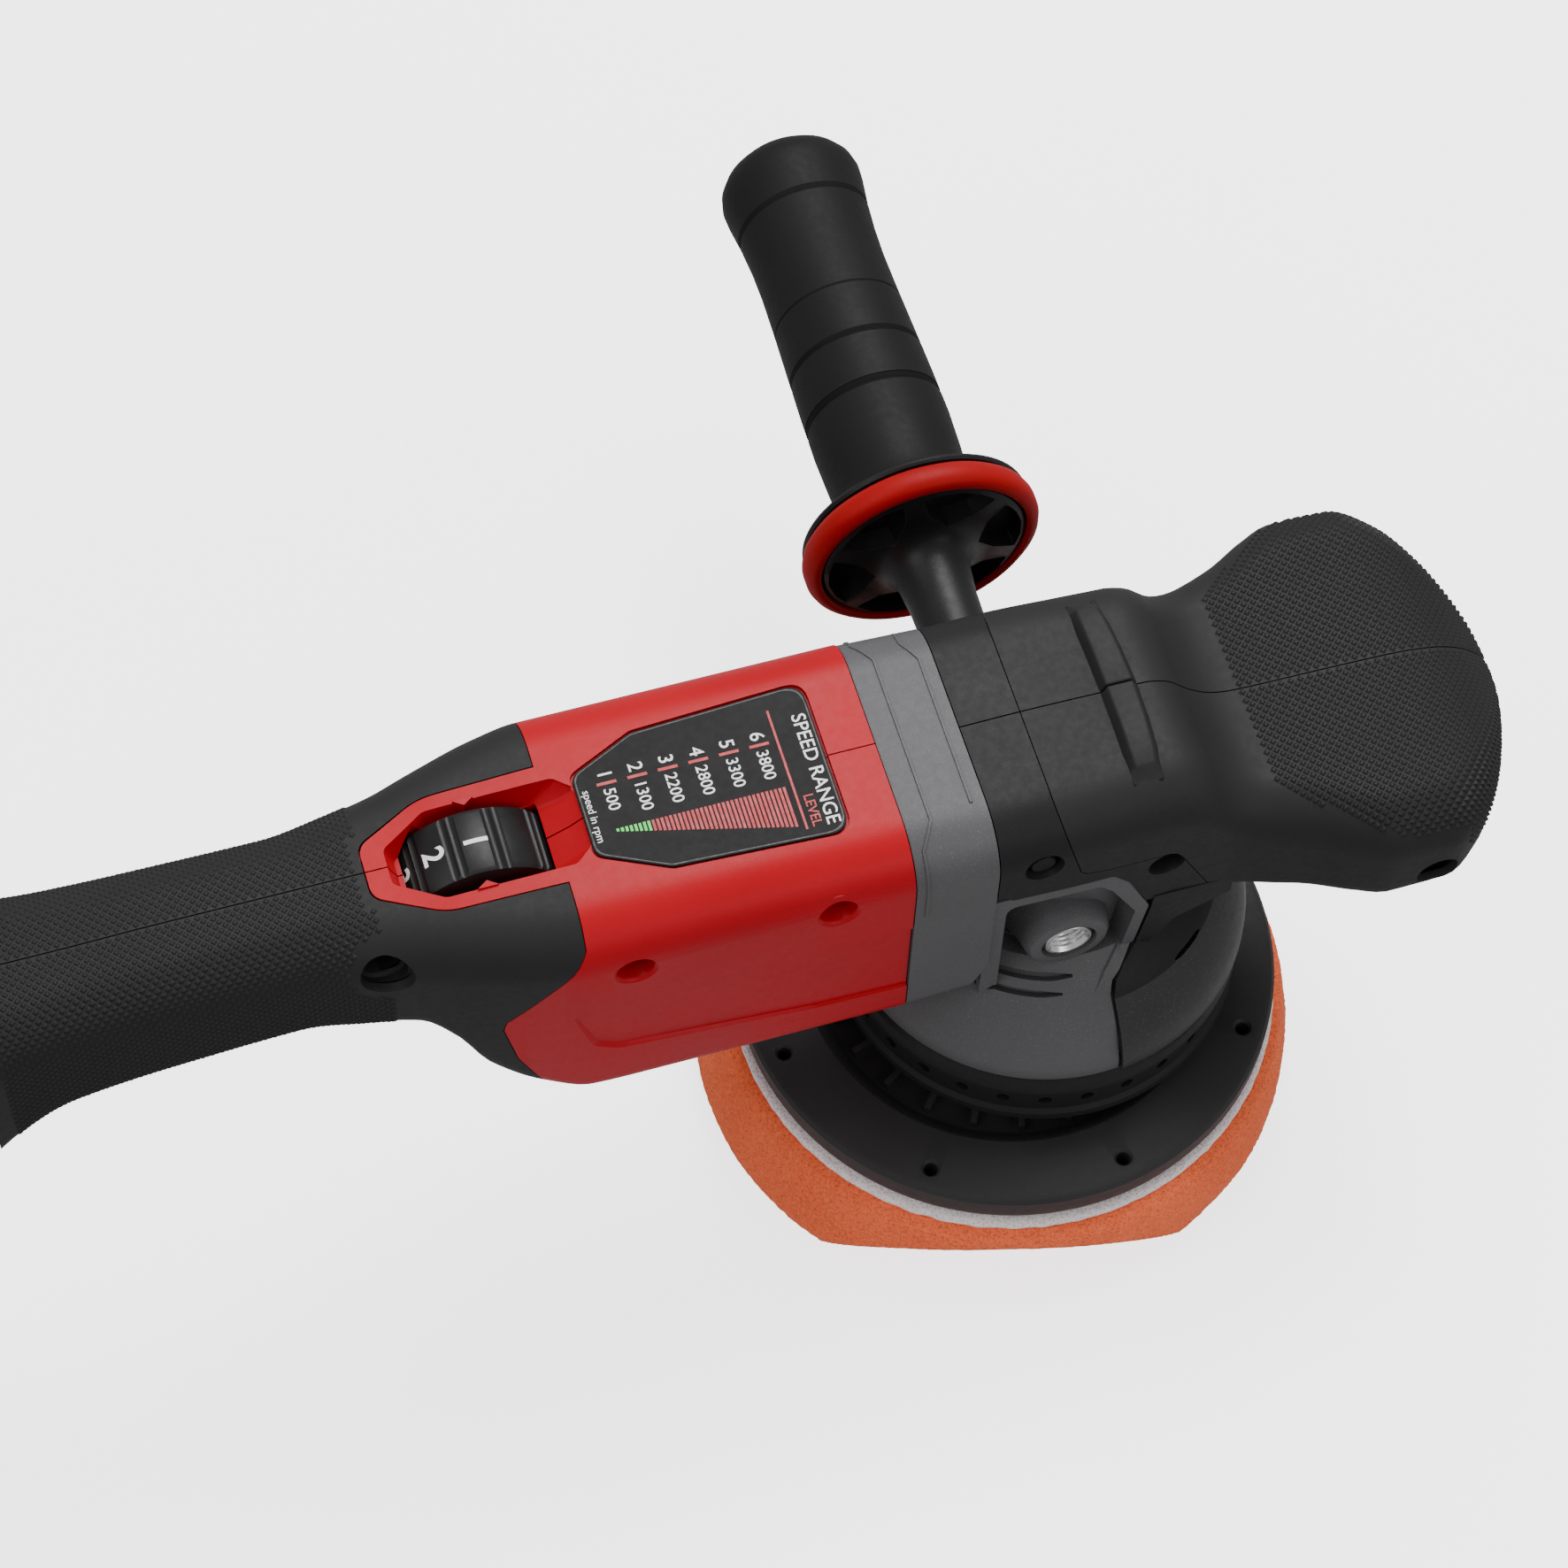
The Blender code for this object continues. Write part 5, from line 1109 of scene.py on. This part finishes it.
def speed_label():
    """The black film with its printed edge, the speeds, two words and the growing row of bars."""
    film = prism(label_outline(), "Z", [151.3, LABEL_FACE], "label_film", FILM)
    show(smooth(soften(film, 0.12, 2, 40)), "housing", "label_film", "speed_label")
    outer, inner = label_outline(-0.35), label_outline(-0.62)
    under, over = LABEL_FACE - 0.02, LABEL_FACE + 0.03
    bm = bmesh.new()
    bridge(bm, [verts(bm, [(x, y, z) for x, y in line])
                for line, z in ((outer, under), (outer, over), (inner, over), (inner, under))], closed=True)
    show(make(bm, "label_border", EDGE_INK), "housing", "label_film")
    whites, ticks = [], []
    for index, speed in enumerate(SPEEDS):
        x = -98.3 + 6.56 * index
        whites += [(str(index + 1), x, 8.3, 4.4, "CENTER"), (str(speed), x, 4.9, 3.6, "LEFT")]
        ticks.append((x, 6.5, 5.8, 4.2))
    ticks.append((-61.6, 13.6, -15.6, 0.5))
    whites.append(("SPEED RANGE", -55.9, -15.8, 4.3, "RIGHT"))
    lettering("label_numbers", whites, WHITE_INK, 0.02)
    lettering("label_unit", [("speed in rpm", -103.0, -0.8, 2.4, "CENTER")], WHITE_INK)
    lettering("label_level", [("LEVEL", -59.3, -15.4, 3.0, "RIGHT")], RED_INK, 0.03)
    row = [(-99.0 + 0.935 * k, -4.8, -5.5 - 0.237 * k, 0.58) for k in range(39)]
    bars("label_bars_red", row[8:] + ticks, RED_INK)
    bars("label_bars_green", row[:8], GLOWING_GREEN_INK)


def speed_wheel():
    """The thumb wheel with pairs of notches, on pivots that reach both body halves."""
    half = [(0, 12.4), (2.5, 12.4), (2.5, WHEEL_HALF), (WHEEL_RADIUS - 1.4, WHEEL_HALF),
            (WHEEL_RADIUS - 0.4, WHEEL_HALF - 0.35), (WHEEL_RADIUS, WHEEL_HALF - 1.3)]
    wheel = turned("Y", (WHEEL_X, WHEEL_Z), mirrored(half), "thumb_wheel", WHEEL_RUBBER, 144)
    reach = WHEEL_RADIUS + 0.75
    for index in range(12):
        for shift in (-3.0, 3.0):
            angle = math.radians(WHEEL_STEP * (index + 0.5) + shift)
            where = (WHEEL_X + reach * math.cos(angle), WHEEL_Z + reach * math.sin(angle))
            cut(wheel, rod("Y", where, (-9, 9), 1.25, 16))
    finish(wheel, "dial", "black_rubber", "speed_wheel", 0.25, angle=35)


def wheel_digits():
    """The numbers 1 to 6, sliced into strips and wrapped round the wheel."""
    round_by = WHEEL_RADIUS * MM
    bm = bmesh.new()
    for step in range(6):
        mesh = text_mesh(str(step + 1), 7.0, 0.06, 0.14)
        mesh.transform(Matrix.Translation((0, 0, round_by)) @ READ_DOWN)
        sliced = bmesh.new()
        sliced.from_mesh(mesh)
        for k in range(-8, 9):
            bmesh.ops.bisect_plane(sliced, geom=sliced.verts[:] + sliced.edges[:] + sliced.faces[:],
                                   plane_co=(0.42 * k * MM, 0, 0), plane_no=(1, 0, 0))
        sliced.to_mesh(mesh)
        sliced.free()
        for vertex in mesh.vertices:
            x, y, z = vertex.co
            vertex.co = (z * math.sin(x / round_by), y, z * math.cos(x / round_by))
        mesh.transform(Matrix.Translation(Vector((WHEEL_X, 0, WHEEL_Z)) * MM)
                       @ Matrix.Rotation(math.radians(-WHEEL_STEP * step), 4, "Y"))
        bm.from_mesh(mesh)
        bpy.data.meshes.remove(mesh)
    show(make(bm, "wheel_digits", WHITE_INK), "dial", "black_rubber")


# ---------------------------------------------------------------- battery, trigger and small parts

def battery_case(name, x0, x1, hollow, corners):
    """One rounded half of the battery case, with the room for the cells cut out."""
    outline = rounded([(x0, -37.5), (x1, -37.5), (x1, 37.5), (x0, 37.5)], corners, 7)
    levels = [(79.0, -2.2), (79.6, -0.9), (81.2, 0.0), (175.6, 0.0), (177.3, -0.9), (178.0, -2.4)]
    return cut(prism(outline, "Z", levels, name, HARD_BLACK), block(hollow, (-34.5, 34.5), (82, 175)))


def battery():
    """The pack: two case halves with grip ribs, a rail slot, a charge gauge and the red latch."""
    front = battery_case("battery_front", -283, -259, (-284, -270.6), [0.5, 5, 5, 0.5])
    rail = mirrored([(-256, 20.45), (-261.6, 20.45), (-261.6, 24.45), (-266.4, 24.45)])
    cut(front, prism(rail, "Z", [70, 161]), block((-268.6, -255), (-15, 15), (165.6, 185)))
    finish(front, "battery", "black_plastic", "battery_base", 0.3)
    rear = battery_case("battery_rear", -306, -283.3, (-303, -280), [7, 0.5, 0.5, 7])
    for index in range(7):
        z = 98 + 7.6 * index
        outline = rounded([(-301, z), (-287.4, z), (-287.4, z + 3.4), (-301, z + 3.4)], 1.2, 4)
        for side in (LEFT, RIGHT):
            cut(rear, side_prism(side, outline, [(36.6, -1.0), (38.4, 0.3)]))
    recess = rounded([(-24, 108), (24, 108), (24, 160), (-24, 160)], 5, 6)
    cut(rear, prism(recess, "X", [(-308, 0.6), (-305.2, -0.3)]))
    finish(rear, "battery", "black_plastic", "battery_cover", 0.35)
    outline = rounded([(-11, 150), (11, 150), (11, 156.4), (-11, 156.4)], 2.2)
    panel = prism(outline, "X", [-305.6, -305.1], "gauge_panel", DARK_GREY)
    show(smooth(soften(panel, 0.15, 2)), "battery", "grey_plastic")
    bm = bmesh.new()
    for index in range(3):
        lamp = rod("X", (-5.0 + 4.4 * index, 153.2), (-305.85, -305.5), 1.1, 20)
        bm.from_mesh(lamp.data)
    show(smooth(make(bm, "gauge_lamps", GLOWING_GREEN_INK)), "battery", "circuit_green")
    latch = block((-268, -259.6), (-14, 14), (170.4, 182), "latch_button", RED)
    for y in range(-2, 2):
        cut(latch, block((-270, -258), (1.4 + 6 * y, 3.6 + 6 * y), (181.2, 184)))
    finish(latch, "latch", "red_plastic", "battery_latch", 0.8, 3, 40)


def trigger():
    """The paddle with finger grooves along its lower face."""
    outline = rounded([(-155.6, 127.4), (-155.6, 117), (-163, 111.6), (-198, 108.6), (-226, 106.2),
                       (-229, 108.5), (-228.4, 114), (-222, 119), (-170, 121), (-164.6, 127.4)],
                      [1.5, 5, 12, 30, 2.5, 3, 3, 4, 3, 1.5], 6)
    lever = soften(prism(outline, "Y", [-7.1, 7.1], "trigger_lever_piece", HARD_BLACK), 1.1, 4, 40)
    cut(lever, rod("Y", (-160.0, 124.4), (-9, 9), 1.8, 24), block((-169, -154), (-3.4, 3.4), (119.8, 131)))
    for index in range(6):
        back = 7.5 * index
        cut(lever, rod("Y", (-176 - back, 108.3 - 0.086 * back), (-9, 9), 2.6, 24))
    finish(lever, "trigger_lever", "black_plastic", "trigger")


def lock_button():
    profile = [(0, 20.0), (2.0, 20.1), (3.8, 20.4), (4.8, 20.3), (5.4, 19.6), (5.5, 18.6), (5.5, 11.0),
               (7.2, 11.0), (7.2, 9.2), (0, 9.2)]
    button = turned("Y", LOCK, profile, "lock_pin", HARD_BLACK, 48)
    show(smooth(button, 40), "lock", "black_plastic", "lock_button")


CARRIED = (
    (HARD_BLACK, "speed_sensor trigger_switch terminal_block cooling_fan"),
    (BRIGHT_STEEL, "trigger_pin trigger_spring motor_shaft motor_bearing_front motor_bearing_rear "
                   "spindle_bearing_lower spindle_bearing_upper eccentric_bearing"),
    (GROUND_STEEL, "drive_spindle pad_spindle pad_screw handle_stud"),
    (BLACK_OXIDE, "housing_screw_front housing_screw_rear grip_screw nose_screw band_screw"),
    (LAMINATED, "stator_core rotor_core"), (COPPER_WIRE, "stator_windings"),
    (GEAR_STEEL, "pinion_gear crown_gear"), (CAST_ZINC, "gearbox_cover eccentric_carrier"),
    (BOARD, "controller_board"), (RUBBER, "motor_leads"),
    (CELL, "battery_cell_1 battery_cell_2 battery_cell_3 battery_cell_4 battery_cell_5"),
)


def paint_carried():
    """Materials for the CAD pieces that stay as they are."""
    for paint, names in CARRIED:
        for name in names.split():
            obj = frame["nodes"][name]
            for material_slot in obj.material_slots:
                material_slot.material = paint
            if not obj.material_slots:
                obj.data.materials.append(paint)


# ---------------------------------------------------------------- stage

def area_light(name, place, aim, size, power):
    lamp = bpy.data.lights.new(name, "AREA")
    lamp.shape = "RECTANGLE"
    lamp.size, lamp.size_y = size
    lamp.energy = power
    obj = bpy.data.objects.new(name, lamp)
    SCENE.objects.link(obj)
    obj.location = place
    obj.rotation_euler = (Vector(aim) - Vector(place)).to_track_quat("-Z", "Y").to_euler()


def stage():
    """A pale sweep, in metres, that glows by itself but doesn't light the part, and soft studio lamps."""
    bm = bmesh.new()
    rows = [(-6.0, 0.0), (2.4, 0.0), (3.0, 0.06), (3.5, 0.3), (3.8, 0.8), (3.9, 1.6), (3.9, 5.0)]
    rings = [[bm.verts.new((x, y, z)) for y, z in rows] for x in (-8.0, 8.0)]
    for i in range(len(rows) - 1):
        bm.faces.new((rings[0][i], rings[1][i], rings[1][i + 1], rings[0][i + 1]))
    n = Nodes("pale_floor")
    n.link(n.ramp(n.noise(900, 2), (0.3, (0.86, 0.86, 0.865)), (0.7, (0.89, 0.89, 0.89))),
           n.shader.inputs["Base Color"])
    n.shader.inputs["Roughness"].default_value = 0.75
    n.shader.inputs["Emission Color"].default_value = (1.0, 1.0, 1.0, 1.0)
    n.shader.inputs["Emission Strength"].default_value = 2.4
    floor = smooth(make(bm, "floor", n.material), 60)
    floor.location.z = -0.0006
    floor.visible_diffuse = floor.visible_glossy = False
    floor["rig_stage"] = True
    world = bpy.data.worlds.new("studio")
    world.use_nodes = True
    world.node_tree.nodes["Background"].inputs["Color"].default_value = (1.0, 1.0, 1.0, 1)
    world.node_tree.nodes["Background"].inputs["Strength"].default_value = 0.60
    bpy.context.scene.world = world
    area_light("key", (0.40, 0.70, 1.60), (-0.05, 0, 0.1), (1.0, 1.0), 38)
    area_light("fill", (-1.2, -0.2, 1.5), (-0.05, 0, 0.1), (1.2, 1.0), 10)
    area_light("front", (0.7, -1.3, 1.0), (0, 0, 0.08), (1.2, 0.5), 6)


def camera():
    """The main view, down on the right side: angles in degrees, with a long lens a metre from the head."""
    azimuth, elevation, roll = (math.radians(a) for a in (-18.95, 60.49, 2.65))
    distance, right_shift, up_shift = 1000, -57.6, 19.4
    back = Vector((math.sin(azimuth) * math.cos(elevation), -math.cos(azimuth) * math.cos(elevation),
                   math.sin(elevation)))
    level_up = (Vector((0, 0, 1)) - back * back.z).normalized()
    level_right = level_up.cross(back)
    up = level_up * math.cos(roll) - level_right * math.sin(roll)
    right = level_right * math.cos(roll) + level_up * math.sin(roll)
    lens = bpy.data.cameras.new("view")
    lens.sensor_width = 36
    lens.lens = 102.57
    lens.clip_start = 0.01
    obj = bpy.data.objects.new("view", lens)
    SCENE.objects.link(obj)
    place = Vector((0, 0, 75)) + right * right_shift + up * up_shift + back * distance
    turn = Matrix((right, up, back)).transposed().to_4x4()
    obj.matrix_world = Matrix.Translation(place * MM) @ turn
    bpy.context.scene.camera = obj


# ---------------------------------------------------------------- build

CAD_OBJECTS = set(bpy.data.objects)


def build():
    paint_carried()
    for side in (LEFT, RIGHT):
        for part in (body_shell, grip_cover, head_shell, boot):
            part(side)
    for part in (grip_texture, nose_texture, casing, collar_trim, thread_inserts, vent_ring, backing_plate,
                 loop_layer, foam_pad, side_handle, speed_label, speed_wheel, wheel_digits, battery, trigger,
                 lock_button):
        part()


def clear_cutters():
    """Remove the helper solids that only shaped other pieces."""
    for obj in list(bpy.data.objects):
        if obj.type == "MESH" and obj not in CAD_OBJECTS and "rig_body" not in obj and not obj.get("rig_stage"):
            bpy.data.objects.remove(obj, do_unlink=True)


build()
clear_cutters()
stage()
camera()
